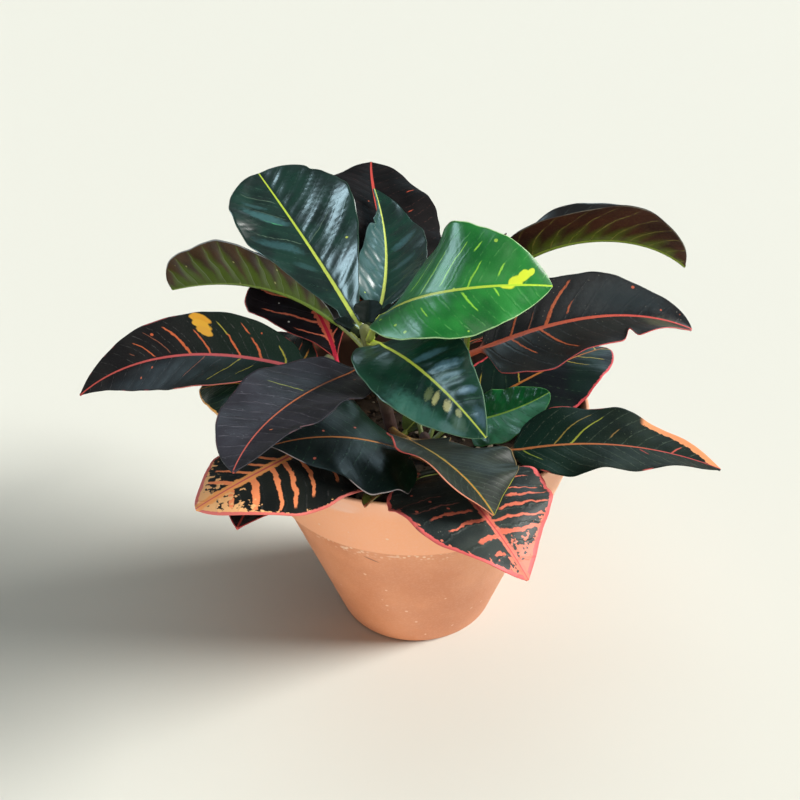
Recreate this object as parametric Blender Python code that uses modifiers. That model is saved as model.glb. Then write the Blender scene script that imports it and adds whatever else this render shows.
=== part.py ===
"""A young croton in a plastic pot: the pot, its soil, woody stems and broad leaves.

Metres, +Z up. The origin is the centre of the pot's foot, and the plant's front faces -Y.
"""

import math
from typing import NamedTuple

import bmesh
import bpy
import numpy as np
from mathutils import Matrix, Vector

MM = 0.001

# Pot: one moulded shell, with a band under the rim and drain holes in its floor
RIM_RADIUS = 0.085
POT_HEIGHT = 0.125
BAND_HEIGHT = 0.037
BAND_FOOT_RADIUS = 0.074
BAND_STEP = 0.0025
FOOT_RADIUS = 0.0425
FOOT_ROUNDING = 0.0025
RIM_ROUNDING = 0.0008
POT_WALL = 0.0020
POT_SEGMENTS = 64
DRAIN_HOLE_RADIUS = 0.004
DRAIN_HOLE_CIRCLE = 0.024
DRAIN_HOLES = 6
DRAIN_HOLE_SIDES = 12

# Soil: fills the pot to a little under its rim
SOIL_TOP = 0.108
CONTACT_GAP = 0.0003

# Stems: woody cuttings, each from a point at the soil's surface to its top
STEM_FOOT_RADIUS = 0.0034
STEM_TOP_RADIUS = 0.0030
STEM_DEPTH = 0.038
STEM_SIDES = 16
STEM_LINES = {
    "main": (Vector((-0.0080, -0.0180, 0.105)), Vector((-0.0208, -0.0222, 0.173))),
    "left": (Vector((-0.0340, -0.0060, 0.105)), Vector((-0.0400, -0.0040, 0.148))),
    "right": (Vector((0.0160, -0.0040, 0.105)), Vector((0.0210, -0.0060, 0.150))),
    "front": (Vector((0.0140, -0.0420, 0.105)), Vector((0.0160, -0.0460, 0.127))),
    "back": (Vector((0.0000, 0.0300, 0.105)), Vector((-0.0020, 0.0360, 0.168))),
    "pruned": (Vector((0.0060, -0.0240, 0.105)), Vector((0.0050, -0.0260, 0.1185))),
}

# Stalks that were cut off the pruned stem
CUT_STALK_RADIUS = 0.0012
CUT_STALK_LENGTH = 0.008
CUT_STALK_RISE = 40
CUT_STALK_SIDES = 10
CUT_STALK_HEADINGS = (105, 60, 20, -25)

# Leaves: a round stalk that widens into a waved blade with a thick midrib
STALK_RADIUS = 0.0014
STALK_START = 0.0039
STEEP_STALK_START = 0.0014
MIDRIB_TIP_THICKNESS = 0.0012
MARGIN_THICKNESS = 0.0008
NARROWEST_BLADE = 0.0006
STALK_BLEND = 0.10
PATH_STEPS = 60
STALK_RINGS = 2
BLADE_RINGS = 12
STRIPS_A_SIDE = 2
WAVE_HEIGHT = 0.06
WAVES = 3
WAVE_TURN = 2.4
RIGHT_WAVE_LAG = 1.7

# Colours as linear red, green and blue, with a roughness
COLOURS = {
    "pot": ((0.72, 0.36, 0.19), 0.45),
    "soil": ((0.018, 0.014, 0.010), 0.95),
    "stem": ((0.13, 0.09, 0.07), 0.75),
    "stalk": ((0.25, 0.32, 0.12), 0.50),
    "green_leaf": ((0.030, 0.120, 0.035), 0.30),
    "olive_leaf": ((0.110, 0.115, 0.040), 0.45),
    "maroon_leaf": ((0.090, 0.030, 0.045), 0.45),
    "dark_leaf": ((0.018, 0.030, 0.028), 0.35),
    "crimson_leaf": ((0.130, 0.012, 0.022), 0.35),
    "coral_leaf": ((0.330, 0.075, 0.060), 0.35),
    "orange_leaf": ((0.330, 0.150, 0.040), 0.35),
}


class Leaf(NamedTuple):
    """One leaf: lengths in millimetres, angles in degrees, left and right as seen from its root."""

    name: str
    stem: str
    height: float  # of its root on the stem, above the floor
    heading: float  # its way out from the stem, from +X towards +Y
    turn: float  # how much the heading changes by the tip
    rise: float  # its slope at the root
    droop: float  # how much that slope falls by the tip
    late: float  # 1 bends evenly, more bends mostly near the tip
    length: float  # stalk and blade along the midrib
    stalk: float
    half_width: float
    widest: float  # where the blade is widest, 0 at its base and 1 at its tip
    fullness: float  # under 1 rounds the blade's outline, 1 makes it a plain sine
    skew: float  # how much wider the left half is
    roll: float  # its tilt about the midrib at the root
    twist: float  # how much the roll changes by the tip
    left_fold: float  # the slope of each half up from the midrib
    right_fold: float
    cup: float  # how much that slope grows by the margin
    colour: str


LEAVES = [
    Leaf(
        "leaf_crown_left",
        stem="main", height=168, heading=113, turn=12, rise=14, droop=-11, late=1.2,
        length=131, stalk=5, half_width=32, widest=0.7, fullness=0.6, skew=-0.05,
        roll=-12, twist=6, left_fold=11, right_fold=18, cup=5, colour="green_leaf",
    ),
    Leaf(
        "leaf_crown_middle",
        stem="main", height=167, heading=79, turn=24, rise=8, droop=-10, late=1.2,
        length=131, stalk=18, half_width=20, widest=0.3, fullness=0.75, skew=-0.2,
        roll=-12, twist=39, left_fold=23, right_fold=20, cup=25, colour="green_leaf",
    ),
    Leaf(
        "leaf_crown_right",
        stem="main", height=172, heading=-66, turn=90, rise=62, droop=77, late=0.9,
        length=98, stalk=16, half_width=27.5, widest=0.4, fullness=0.75, skew=0.2,
        roll=2, twist=60, left_fold=6, right_fold=9, cup=-15, colour="green_leaf",
    ),
    Leaf(
        "leaf_crown_front",
        stem="main", height=169, heading=-64, turn=11, rise=20, droop=44, late=1.1,
        length=88, stalk=8, half_width=22, widest=0.4, fullness=0.7, skew=-0.05,
        roll=1, twist=59, left_fold=3, right_fold=22, cup=10, colour="green_leaf",
    ),
    Leaf(
        "leaf_folded_left",
        stem="main", height=161, heading=125, turn=27, rise=18, droop=39, late=0.7,
        length=158, stalk=18, half_width=26.5, widest=0.65, fullness=0.6, skew=0,
        roll=7, twist=-36, left_fold=88, right_fold=5, cup=0, colour="olive_leaf",
    ),
    Leaf(
        "leaf_folded_right",
        stem="right", height=147, heading=-39, turn=49, rise=95, droop=136, late=1.1,
        length=139, stalk=32, half_width=22.6, widest=0.6, fullness=0.95, skew=0,
        roll=24, twist=-5, left_fold=9, right_fold=80, cup=-10, colour="maroon_leaf",
    ),
    Leaf(
        "leaf_behind_crown",
        stem="back", height=157, heading=109, turn=-18, rise=29, droop=31, late=1.4,
        length=136, stalk=15, half_width=35, widest=0.4, fullness=0.85, skew=0,
        roll=19, twist=-26, left_fold=20, right_fold=5, cup=-20, colour="dark_leaf",
    ),
    Leaf(
        "leaf_upper_left",
        stem="left", height=128, heading=90, turn=41, rise=7, droop=-23, late=1.8,
        length=109, stalk=26, half_width=31, widest=0.7, fullness=0.75, skew=0.2,
        roll=-14, twist=4, left_fold=17, right_fold=13, cup=0, colour="crimson_leaf",
    ),
    Leaf(
        "leaf_far_left",
        stem="left", height=139, heading=153, turn=12, rise=3, droop=44, late=1.4,
        length=169, stalk=5, half_width=22.5, widest=0.4, fullness=1, skew=0,
        roll=-26, twist=-72, left_fold=28, right_fold=16, cup=15, colour="coral_leaf",
    ),
    Leaf(
        "leaf_far_right",
        stem="right", height=152, heading=-4, turn=-4, rise=26, droop=49, late=2,
        length=104, stalk=5, half_width=27.5, widest=0.4, fullness=0.7, skew=-0.2,
        roll=43, twist=-35, left_fold=23, right_fold=15, cup=20, colour="coral_leaf",
    ),
    Leaf(
        "leaf_mid_right",
        stem="right", height=113, heading=18, turn=16, rise=26, droop=33, late=1.4,
        length=92, stalk=5, half_width=27.5, widest=0.45, fullness=0.55, skew=-0.05,
        roll=27, twist=-43, left_fold=15, right_fold=1, cup=-15, colour="coral_leaf",
    ),
    Leaf(
        "leaf_spoon",
        stem="right", height=113, heading=-21, turn=27, rise=21, droop=-12, late=1.6,
        length=49, stalk=5, half_width=14.5, widest=0.3, fullness=0.5, skew=-0.05,
        roll=32, twist=-5, left_fold=17, right_fold=8, cup=-20, colour="green_leaf",
    ),
    Leaf(
        "leaf_low_right",
        stem="front", height=115, heading=1, turn=-21, rise=20, droop=34, late=1.3,
        length=116, stalk=23, half_width=28.5, widest=0.4, fullness=0.8, skew=-0.05,
        roll=9, twist=-20, left_fold=11, right_fold=13, cup=-5, colour="orange_leaf",
    ),
    Leaf(
        "leaf_front_small",
        stem="main", height=121, heading=-77, turn=29, rise=24, droop=67, late=3,
        length=95, stalk=28, half_width=30.5, widest=0.55, fullness=0.8, skew=0.2,
        roll=-12, twist=-17, left_fold=10, right_fold=14, cup=-5, colour="dark_leaf",
    ),
    Leaf(
        "leaf_over_rim",
        stem="front", height=115, heading=-87, turn=36, rise=26, droop=69, late=1.8,
        length=84, stalk=5, half_width=34.5, widest=0.45, fullness=0.85, skew=0,
        roll=9, twist=-28, left_fold=15, right_fold=12, cup=-20, colour="coral_leaf",
    ),
    Leaf(
        "leaf_mid_left",
        stem="main", height=156, heading=-125, turn=37, rise=14, droop=1, late=2.2,
        length=132, stalk=5, half_width=23.5, widest=0.4, fullness=0.7, skew=0.1,
        roll=-7, twist=7, left_fold=15, right_fold=15, cup=0, colour="dark_leaf",
    ),
    Leaf(
        "leaf_front_wide",
        stem="front", height=117, heading=199, turn=9, rise=38, droop=39, late=1.6,
        length=83, stalk=16, half_width=39, widest=0.4, fullness=0.95, skew=0,
        roll=6, twist=-11, left_fold=2, right_fold=7, cup=-10, colour="dark_leaf",
    ),
    Leaf(
        "leaf_low_left",
        stem="left", height=116, heading=-90, turn=-48, rise=24, droop=33, late=2.3,
        length=119, stalk=11, half_width=31.5, widest=0.5, fullness=0.65, skew=0.15,
        roll=-18, twist=15, left_fold=7, right_fold=0, cup=-15, colour="coral_leaf",
    ),
    Leaf(
        "leaf_behind_left",
        stem="left", height=119, heading=165, turn=1, rise=27, droop=53, late=1.2,
        length=74, stalk=11, half_width=27.8, widest=0.45, fullness=0.75, skew=0,
        roll=-6, twist=-2, left_fold=3, right_fold=11, cup=-5, colour="dark_leaf",
    ),
    Leaf(
        "leaf_lowest_left",
        stem="left", height=113, heading=-117, turn=23, rise=16, droop=7, late=1.3,
        length=112, stalk=14, half_width=17, widest=0.55, fullness=0.8, skew=0.1,
        roll=-1, twist=-1, left_fold=9, right_fold=13, cup=-10, colour="dark_leaf",
    ),
    Leaf(
        "leaf_bud",
        stem="front", height=114, heading=-145, turn=43, rise=14, droop=-6, late=1.1,
        length=60, stalk=12, half_width=6, widest=0.5, fullness=0.75, skew=-0.05,
        roll=5, twist=10, left_fold=31, right_fold=16, cup=-15, colour="green_leaf",
    ),
    Leaf(
        "leaf_back_top_right",
        stem="back", height=152, heading=63, turn=11, rise=15, droop=66, late=1.7,
        length=123, stalk=12, half_width=28, widest=0.5, fullness=0.9, skew=0.05,
        roll=-4, twist=0, left_fold=12, right_fold=23, cup=5, colour="dark_leaf",
    ),
    Leaf(
        "leaf_back_top_left",
        stem="back", height=151, heading=142, turn=0, rise=22, droop=54, late=1.3,
        length=118, stalk=14, half_width=24.5, widest=0.55, fullness=0.8, skew=0,
        roll=0, twist=-7, left_fold=10, right_fold=14, cup=5, colour="dark_leaf",
    ),
    Leaf(
        "leaf_back_top_middle",
        stem="back", height=141, heading=94, turn=2, rise=16, droop=58, late=1.5,
        length=139, stalk=15, half_width=28, widest=0.5, fullness=0.8, skew=0,
        roll=-3, twist=1, left_fold=11, right_fold=13, cup=-5, colour="coral_leaf",
    ),
    Leaf(
        "leaf_back_right",
        stem="back", height=126, heading=33, turn=-1, rise=18, droop=55, late=1.3,
        length=126, stalk=16, half_width=25.5, widest=0.5, fullness=0.75, skew=0,
        roll=0, twist=-2, left_fold=12, right_fold=12, cup=-5, colour="coral_leaf",
    ),
    Leaf(
        "leaf_back_low_middle",
        stem="back", height=124, heading=105, turn=2, rise=24, droop=50, late=1.4,
        length=122, stalk=17, half_width=26, widest=0.5, fullness=0.75, skew=0,
        roll=0, twist=2, left_fold=12, right_fold=12, cup=0, colour="coral_leaf",
    ),
    Leaf(
        "leaf_back_low_right",
        stem="back", height=114, heading=72, turn=0, rise=28, droop=52, late=1.3,
        length=109, stalk=12, half_width=24.5, widest=0.5, fullness=0.8, skew=0,
        roll=0, twist=0, left_fold=10, right_fold=12, cup=-5, colour="coral_leaf",
    ),
    Leaf(
        "leaf_back_inner",
        stem="right", height=140, heading=74, turn=0, rise=22, droop=60, late=1.3,
        length=118, stalk=14, half_width=24, widest=0.5, fullness=0.8, skew=0,
        roll=0, twist=0, left_fold=12, right_fold=12, cup=0, colour="dark_leaf",
    ),
    Leaf(
        "leaf_back_left",
        stem="left", height=121, heading=130, turn=-3, rise=26, droop=51, late=0.7,
        length=104, stalk=16, half_width=21, widest=0.5, fullness=0.85, skew=0,
        roll=-4, twist=-6, left_fold=12, right_fold=13, cup=-15, colour="coral_leaf",
    ),
    Leaf(
        "leaf_inner_front",
        stem="main", height=111, heading=55, turn=0, rise=14, droop=10, late=1.3,
        length=24, stalk=4, half_width=7, widest=0.5, fullness=0.8, skew=0,
        roll=0, twist=0, left_fold=12, right_fold=12, cup=0, colour="olive_leaf",
    ),
]


def new_collection(name):
    """A collection in the scene, for the parts or for the cutters."""
    collection = bpy.data.collections.new(name)
    bpy.context.scene.collection.children.link(collection)
    return collection


def paint(obj, colour_name):
    """Give the object the material of this name, made the first time that it is asked for."""
    material = bpy.data.materials.get(colour_name)
    if material is None:
        colour, roughness = COLOURS[colour_name]
        material = bpy.data.materials.new(colour_name)
        material.use_nodes = True
        shader = material.node_tree.nodes["Principled BSDF"]
        shader.inputs["Base Color"].default_value = (*colour, 1.0)
        shader.inputs["Roughness"].default_value = roughness
    obj.data.materials.append(material)


def turned_solid(name, profile, segments, collection):
    """A solid of revolution about Z: the profile's radii and heights, swept by a Screw modifier."""
    mesh = bpy.data.meshes.new(name)
    points = [(radius, 0.0, height) for radius, height in profile]
    edges = [(i, i + 1) for i in range(len(points) - 1)]
    mesh.from_pydata(points, edges, [])
    obj = bpy.data.objects.new(name, mesh)
    collection.objects.link(obj)
    screw = obj.modifiers.new("turn", "SCREW")
    screw.steps = segments
    screw.render_steps = segments
    screw.use_merge_vertices = True
    screw.merge_threshold = 1e-5
    screw.use_smooth_shade = True
    return obj


def cut(obj, cutter):
    """Take the cutter's solid out of the object."""
    boolean = obj.modifiers.new("cut " + cutter.name, "BOOLEAN")
    boolean.operation = "DIFFERENCE"
    boolean.solver = "EXACT"
    boolean.object = cutter


def tapered_rod(name, start, end, start_radius, end_radius, sides, collection):
    """A cone with flat ends between two points."""
    mesh = bpy.data.meshes.new(name)
    shape = bmesh.new()
    axis = end - start
    bmesh.ops.create_cone(
        shape,
        cap_ends=True,
        segments=sides,
        radius1=start_radius,
        radius2=end_radius,
        depth=axis.length,
        matrix=Matrix.Translation((0, 0, axis.length / 2)),
    )
    shape.to_mesh(mesh)
    shape.free()
    mesh.shade_smooth()
    obj = bpy.data.objects.new(name, mesh)
    obj.location = start
    obj.rotation_mode = "QUATERNION"
    obj.rotation_quaternion = Vector((0, 0, 1)).rotation_difference(axis)
    collection.objects.link(obj)
    return obj


def arc(centre, radius, start_angle, end_angle, steps):
    """Points of a round corner in a profile, by angles in degrees."""
    points = []
    for step in range(steps + 1):
        angle = math.radians(start_angle + (end_angle - start_angle) * step / steps)
        points.append((centre[0] + radius * math.cos(angle), centre[1] + radius * math.sin(angle)))
    return points


def pot_outside():
    """The pot's outer profile, from its rim down to the middle of its foot."""
    band_foot = POT_HEIGHT - BAND_HEIGHT
    rim_centre = (RIM_RADIUS - RIM_ROUNDING, POT_HEIGHT - RIM_ROUNDING)
    foot_centre = (FOOT_RADIUS - FOOT_ROUNDING, FOOT_ROUNDING)
    wall_lean = math.degrees(math.atan2(BAND_FOOT_RADIUS - BAND_STEP - FOOT_RADIUS, band_foot))
    return [
        *arc(rim_centre, RIM_ROUNDING, 90, -10, 3),
        (BAND_FOOT_RADIUS, band_foot),
        (BAND_FOOT_RADIUS - BAND_STEP, band_foot),
        *arc(foot_centre, FOOT_ROUNDING, -wall_lean, -90, 4),
        (0.0, 0.0),
    ]


def pot_inside():
    """The pot's inner profile, from the middle of its floor up to its rim."""
    band_foot = POT_HEIGHT - BAND_HEIGHT
    return [
        (0.0, POT_WALL),
        (FOOT_RADIUS - POT_WALL, POT_WALL),
        (BAND_FOOT_RADIUS - BAND_STEP - POT_WALL, band_foot),
        (BAND_FOOT_RADIUS - POT_WALL, band_foot + BAND_STEP),
        (RIM_RADIUS - POT_WALL, POT_HEIGHT - RIM_ROUNDING),
        (RIM_RADIUS - POT_WALL + RIM_ROUNDING, POT_HEIGHT),
    ]


def inside_radius(height):
    """The pot's inner radius at this height."""
    heights = [z for radius, z in pot_inside()[1:]]
    radii = [radius for radius, z in pot_inside()[1:]]
    return float(np.interp(height, heights, radii))


def make_pot(parts, cutters):
    """The pot's shell of revolution, with its drain holes cut."""
    pot = turned_solid("pot", pot_inside() + pot_outside(), POT_SEGMENTS, parts)
    for hole in range(DRAIN_HOLES):
        angle = 2 * math.pi * hole / DRAIN_HOLES
        place = Vector((DRAIN_HOLE_CIRCLE * math.cos(angle), DRAIN_HOLE_CIRCLE * math.sin(angle), 0))
        below = place - Vector((0, 0, 2 * POT_WALL))
        above = place + Vector((0, 0, 2 * POT_WALL))
        radius = DRAIN_HOLE_RADIUS
        cutter = tapered_rod(f"drain_{hole + 1}", below, above, radius, radius, DRAIN_HOLE_SIDES, cutters)
        cut(pot, cutter)
    paint(pot, "pot")


def stem_point(stem, height):
    """The point of the stem's axis at this height."""
    foot, top = STEM_LINES[stem]
    return foot.lerp(top, (height - foot.z) / (top.z - foot.z))


def make_soil(parts, cutters):
    """The soil's fill, clear of the pot's wall, with a plain hole for each stem."""
    floor = POT_WALL + CONTACT_GAP
    band_foot = POT_HEIGHT - BAND_HEIGHT
    wall_heights = [SOIL_TOP, band_foot + BAND_STEP, band_foot, floor]
    wall = [(inside_radius(height) - CONTACT_GAP, height) for height in wall_heights]
    soil = turned_solid("soil", [(0.0, SOIL_TOP), *wall, (0.0, floor)], POT_SEGMENTS, parts)
    for stem in STEM_LINES:
        bottom = stem_point(stem, SOIL_TOP - STEM_DEPTH - CONTACT_GAP)
        above = stem_point(stem, SOIL_TOP + STEM_TOP_RADIUS)
        radius = STEM_FOOT_RADIUS + CONTACT_GAP
        cutter = tapered_rod(f"hole_{stem}", bottom, above, radius, radius, STEM_SIDES, cutters)
        cut(soil, cutter)
    paint(soil, "soil")


def make_stems(parts):
    """The stems, each from its hole's bottom to its top, and the pruned stem's cut stalks."""
    for stem, (foot, top) in STEM_LINES.items():
        bottom = stem_point(stem, SOIL_TOP - STEM_DEPTH)
        rod = tapered_rod(f"stem_{stem}", bottom, top, STEM_FOOT_RADIUS, STEM_TOP_RADIUS, STEM_SIDES, parts)
        paint(rod, "stem")
    top = STEM_LINES["pruned"][1]
    for number, heading in enumerate(CUT_STALK_HEADINGS):
        turn = math.radians(heading)
        rise = math.radians(CUT_STALK_RISE)
        outward = Vector((math.cos(turn), math.sin(turn), 0))
        clear = STEM_FOOT_RADIUS + CONTACT_GAP + CUT_STALK_RADIUS * math.sin(rise)
        start = top + outward * clear - Vector((0, 0, 2 * CUT_STALK_RADIUS))
        end = start + (outward * math.cos(rise) + Vector((0, 0, math.sin(rise)))) * CUT_STALK_LENGTH
        radius = CUT_STALK_RADIUS
        stalk = tapered_rod(f"cut_stalk_{number + 1}", start, end, radius, radius, CUT_STALK_SIDES, parts)
        paint(stalk, "stalk")


def midrib_frames(leaf):
    """Stations along the stalk and midrib: share of the length, point, left and up."""
    share = np.linspace(0, 1, PATH_STEPS + 1)
    heading = np.radians(leaf.heading + leaf.turn * share)
    slope = np.radians(leaf.rise - leaf.droop * share**leaf.late)
    level = np.stack([np.cos(heading), np.sin(heading), 0 * heading], axis=-1)
    forward = level * np.cos(slope)[:, None]
    forward[:, 2] = np.sin(slope)
    start = STALK_START + STEEP_STALK_START * abs(math.sin(math.radians(leaf.rise)))
    root = np.array(stem_point(leaf.stem, leaf.height * MM)) + level[0] * start
    steps = (forward[1:] + forward[:-1]) / 2 * leaf.length * MM / PATH_STEPS
    points = np.vstack([root, root + np.cumsum(steps, axis=0)])
    flat_left = np.stack([-np.sin(heading), np.cos(heading), 0 * heading], axis=-1)
    flat_up = np.cross(forward, flat_left)
    roll = np.radians(leaf.roll + leaf.twist * share)[:, None]
    left = flat_left * np.cos(roll) + flat_up * np.sin(roll)
    up = flat_up * np.cos(roll) - flat_left * np.sin(roll)
    return share, points, left, up


def blade_outline(leaf, along):
    """The blade's half width at a place along it, 0 at its base and 1 at its tip."""
    bend = math.log(0.5) / math.log(leaf.widest)
    swell = max(math.sin(math.pi * along**bend), 0.0) ** leaf.fullness
    return max(leaf.half_width * MM * swell, NARROWEST_BLADE)


def blade_point(leaf, number, along, across):
    """Sideways and upward offsets of the blade's upper face and its normal there."""
    side = 1 if across >= 0 else -1
    out = abs(across)
    fold = math.radians(leaf.left_fold if side > 0 else leaf.right_fold)
    cup = math.radians(leaf.cup) + 1e-6
    width = blade_outline(leaf, along) * (1 + side * leaf.skew)
    lag = 0 if side > 0 else RIGHT_WAVE_LAG
    wave = width * WAVE_HEIGHT * out**2 * math.sin(2 * math.pi * WAVES * along + WAVE_TURN * number + lag)
    sideways = side * width * (math.sin(fold + cup * out) - math.sin(fold)) / cup
    upward = width * (math.cos(fold) - math.cos(fold + cup * out)) / cup + wave
    slope = side * (fold + cup * out)
    if out == 0:
        slope = math.radians(leaf.left_fold - leaf.right_fold) / 2
    return sideways, upward, -math.sin(slope), math.cos(slope)


def leaf_section(leaf, number, along):
    """One closed section, round in the stalk and a thin blade further out, as offsets left and up."""
    blade = max(along, 0.0)
    blend = min(blade / STALK_BLEND, 1.0)
    blend = blend * blend * (3 - 2 * blend)
    midrib = 2 * STALK_RADIUS + (MIDRIB_TIP_THICKNESS - 2 * STALK_RADIUS) * blade**0.6
    top = []
    bottom = []
    strips = 2 * STRIPS_A_SIDE
    for strip in range(strips + 1):
        across = strip / STRIPS_A_SIDE - 1
        sideways, upward, lean, stand = blade_point(leaf, number, blade, across)
        thickness = MARGIN_THICKNESS + (midrib - MARGIN_THICKNESS) * (1 - abs(across)) ** 2
        angle = math.pi * (0.9 - 0.8 * strip / strips)
        round_x = STALK_RADIUS * math.cos(angle)
        round_y = STALK_RADIUS * math.sin(angle)
        top.append((round_x + blend * (sideways - round_x), round_y + blend * (upward - round_y)))
        under_x = sideways - lean * thickness
        under_y = upward - stand * thickness
        bottom.append((round_x + blend * (under_x - round_x), -round_y + blend * (under_y + round_y)))
    return top + bottom[::-1]


def make_leaf(leaf, number, parts):
    """Loft the stalk and blade through their sections, with both faces split along the same diagonals."""
    share, points, left, up = midrib_frames(leaf)
    stalk_share = leaf.stalk / leaf.length
    stations = [ring / STALK_RINGS - 1 for ring in range(STALK_RINGS)]
    stations += [ring / BLADE_RINGS for ring in range(BLADE_RINGS + 1)]
    corners = []
    for along in stations:
        place = stalk_share * (1 + along) if along < 0 else stalk_share + (1 - stalk_share) * along
        middle, to_left, to_up = (
            np.array([np.interp(place, share, line[:, axis]) for axis in range(3)])
            for line in (points, left, up)
        )
        for sideways, upward in leaf_section(leaf, number, along):
            corners.append(middle + to_left * sideways + to_up * upward)
    ring_size = 4 * STRIPS_A_SIDE + 2
    top_strips = 2 * STRIPS_A_SIDE
    faces = [tuple(range(ring_size)), tuple(range(len(corners) - ring_size, len(corners)))]
    for ring in range(len(stations) - 1):
        for corner in range(ring_size):
            following = (corner + 1) % ring_size
            a = ring * ring_size + corner
            b = ring * ring_size + following
            c = b + ring_size
            d = a + ring_size
            if corner < top_strips:
                faces += [(a, b, c), (a, c, d)]
            else:
                faces += [(a, b, d), (b, c, d)]
    mesh = bpy.data.meshes.new(leaf.name)
    mesh.from_pydata([tuple(corner) for corner in corners], [], faces)
    shape = bmesh.new()
    shape.from_mesh(mesh)
    bmesh.ops.recalc_face_normals(shape, faces=shape.faces)
    shape.to_mesh(mesh)
    shape.free()
    mesh.shade_smooth()
    obj = bpy.data.objects.new(leaf.name, mesh)
    parts.objects.link(obj)
    paint(obj, leaf.colour)


for old in list(bpy.data.objects):
    bpy.data.objects.remove(old, do_unlink=True)
croton = new_collection("potted_croton")
cutters = new_collection("cutters")
make_pot(croton, cutters)
make_soil(croton, cutters)
make_stems(croton)
for number, leaf in enumerate(LEAVES):
    make_leaf(leaf, number, croton)
for cutter in cutters.objects:
    cutter.hide_render = True
    cutter.display_type = "WIRE"
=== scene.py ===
"""A young croton in a terracotta-coloured plastic pot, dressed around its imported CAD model.

Metres, +Z up. The pot's foot stands on the floor at the origin, and the plant's front faces -Y.
"""

import math
from types import SimpleNamespace

import bmesh
import bpy
import numpy as np
from mathutils import Matrix, Vector


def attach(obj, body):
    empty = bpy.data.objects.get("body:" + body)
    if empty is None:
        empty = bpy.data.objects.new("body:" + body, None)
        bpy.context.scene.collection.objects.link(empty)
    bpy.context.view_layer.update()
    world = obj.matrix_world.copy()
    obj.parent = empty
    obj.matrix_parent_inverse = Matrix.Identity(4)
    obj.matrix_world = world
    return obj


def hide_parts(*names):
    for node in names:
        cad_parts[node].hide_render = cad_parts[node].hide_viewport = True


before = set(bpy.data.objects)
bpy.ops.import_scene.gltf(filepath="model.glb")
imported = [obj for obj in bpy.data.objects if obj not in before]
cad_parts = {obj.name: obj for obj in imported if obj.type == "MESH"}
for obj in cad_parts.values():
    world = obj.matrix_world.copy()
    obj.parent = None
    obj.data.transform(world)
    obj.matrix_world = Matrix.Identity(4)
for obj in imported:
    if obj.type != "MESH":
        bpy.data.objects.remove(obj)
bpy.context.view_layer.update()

# Studio: the plant stands on a pale, seamless floor under a broad, soft light from its right, as in a room
# with a large window. A lower window and a fill of their own light the floor, so the plant's shadow is long
# and soft.

FLOOR_SIZE = 9.0
FLOOR_PAPER = (210, 210, 200)
CAMERA_PLACE = (0.0014, -0.361, 0.344)
CAMERA_TILT_DOWN = 31.4
CAMERA_TURN_LEFT = 1.3
CAMERA_ROLL = -1.3
CAMERA_LENS = 38.6
CAMERA_SENSOR = 36.0
SUNS = {
    "window_light": ((0.82, 0.16, 0.58), 3.8, 28, (1.0, 0.985, 0.95), "EXCLUDE"),
    "low_window_light": ((0.94, 0.07, 0.34), 9.4, 28, (1.0, 0.995, 0.98), "INCLUDE"),
    "front_reflector": ((-0.22, -0.88, 0.44), 1.5, 60, (1.0, 0.97, 0.93), "EXCLUDE"),
    "floor_fill": ((0.0, 0.35, 0.94), 0.85, 60, (0.93, 0.98, 1.0), "INCLUDE"),
}
SHEENS = {
    "sheen_left": ((-0.77, 0.24, 0.64), 2.3, 30),
    "sheen_back": ((0.30, 0.90, 0.30), 0.3, 20),
}
SHEEN_COLOUR = (0.62, 0.88, 1.0)
SKY_COLOUR = (0.94, 0.98, 1.0, 1.0)
SKY_STRENGTH = 0.14


def srgb(red, green, blue):
    """A linear colour from the 0 to 255 values that a paint chart gives."""
    linear = []
    for value in (red, green, blue):
        share = value / 255
        linear.append(share / 12.92 if share <= 0.04045 else ((share + 0.055) / 1.055) ** 2.4)
    return (*linear, 1.0)


def new_material(name, roughness, **sockets):
    """A material with a Principled shader, and that shader."""
    material = bpy.data.materials.new(name)
    material.use_nodes = True
    shader = material.node_tree.nodes["Principled BSDF"]
    shader.inputs["Roughness"].default_value = roughness
    for socket, value in sockets.items():
        shader.inputs[socket.replace("_", " ")].default_value = value
    return material, shader


def add_sun(name, direction, energy, width, colour):
    """A sun that shines from a direction; its width in degrees makes its shadows soft."""
    light = bpy.data.lights.new(name, "SUN")
    light.energy = energy
    light.angle = math.radians(width)
    light.color = colour
    lamp = bpy.data.objects.new(name, light)
    lamp.rotation_euler = Vector(direction).to_track_quat("Z", "Y").to_euler()
    bpy.context.scene.collection.objects.link(lamp)
    return lamp


def shine_on_floor(lamp, floor, link_state):
    """Keep a light to the floor, with INCLUDE, or off it, with EXCLUDE."""
    lit = bpy.data.collections.new(lamp.name + "_floor")
    lit.objects.link(floor)
    lit.collection_objects[0].light_linking.link_state = link_state
    lamp.light_linking.receiver_collection = lit


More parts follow.
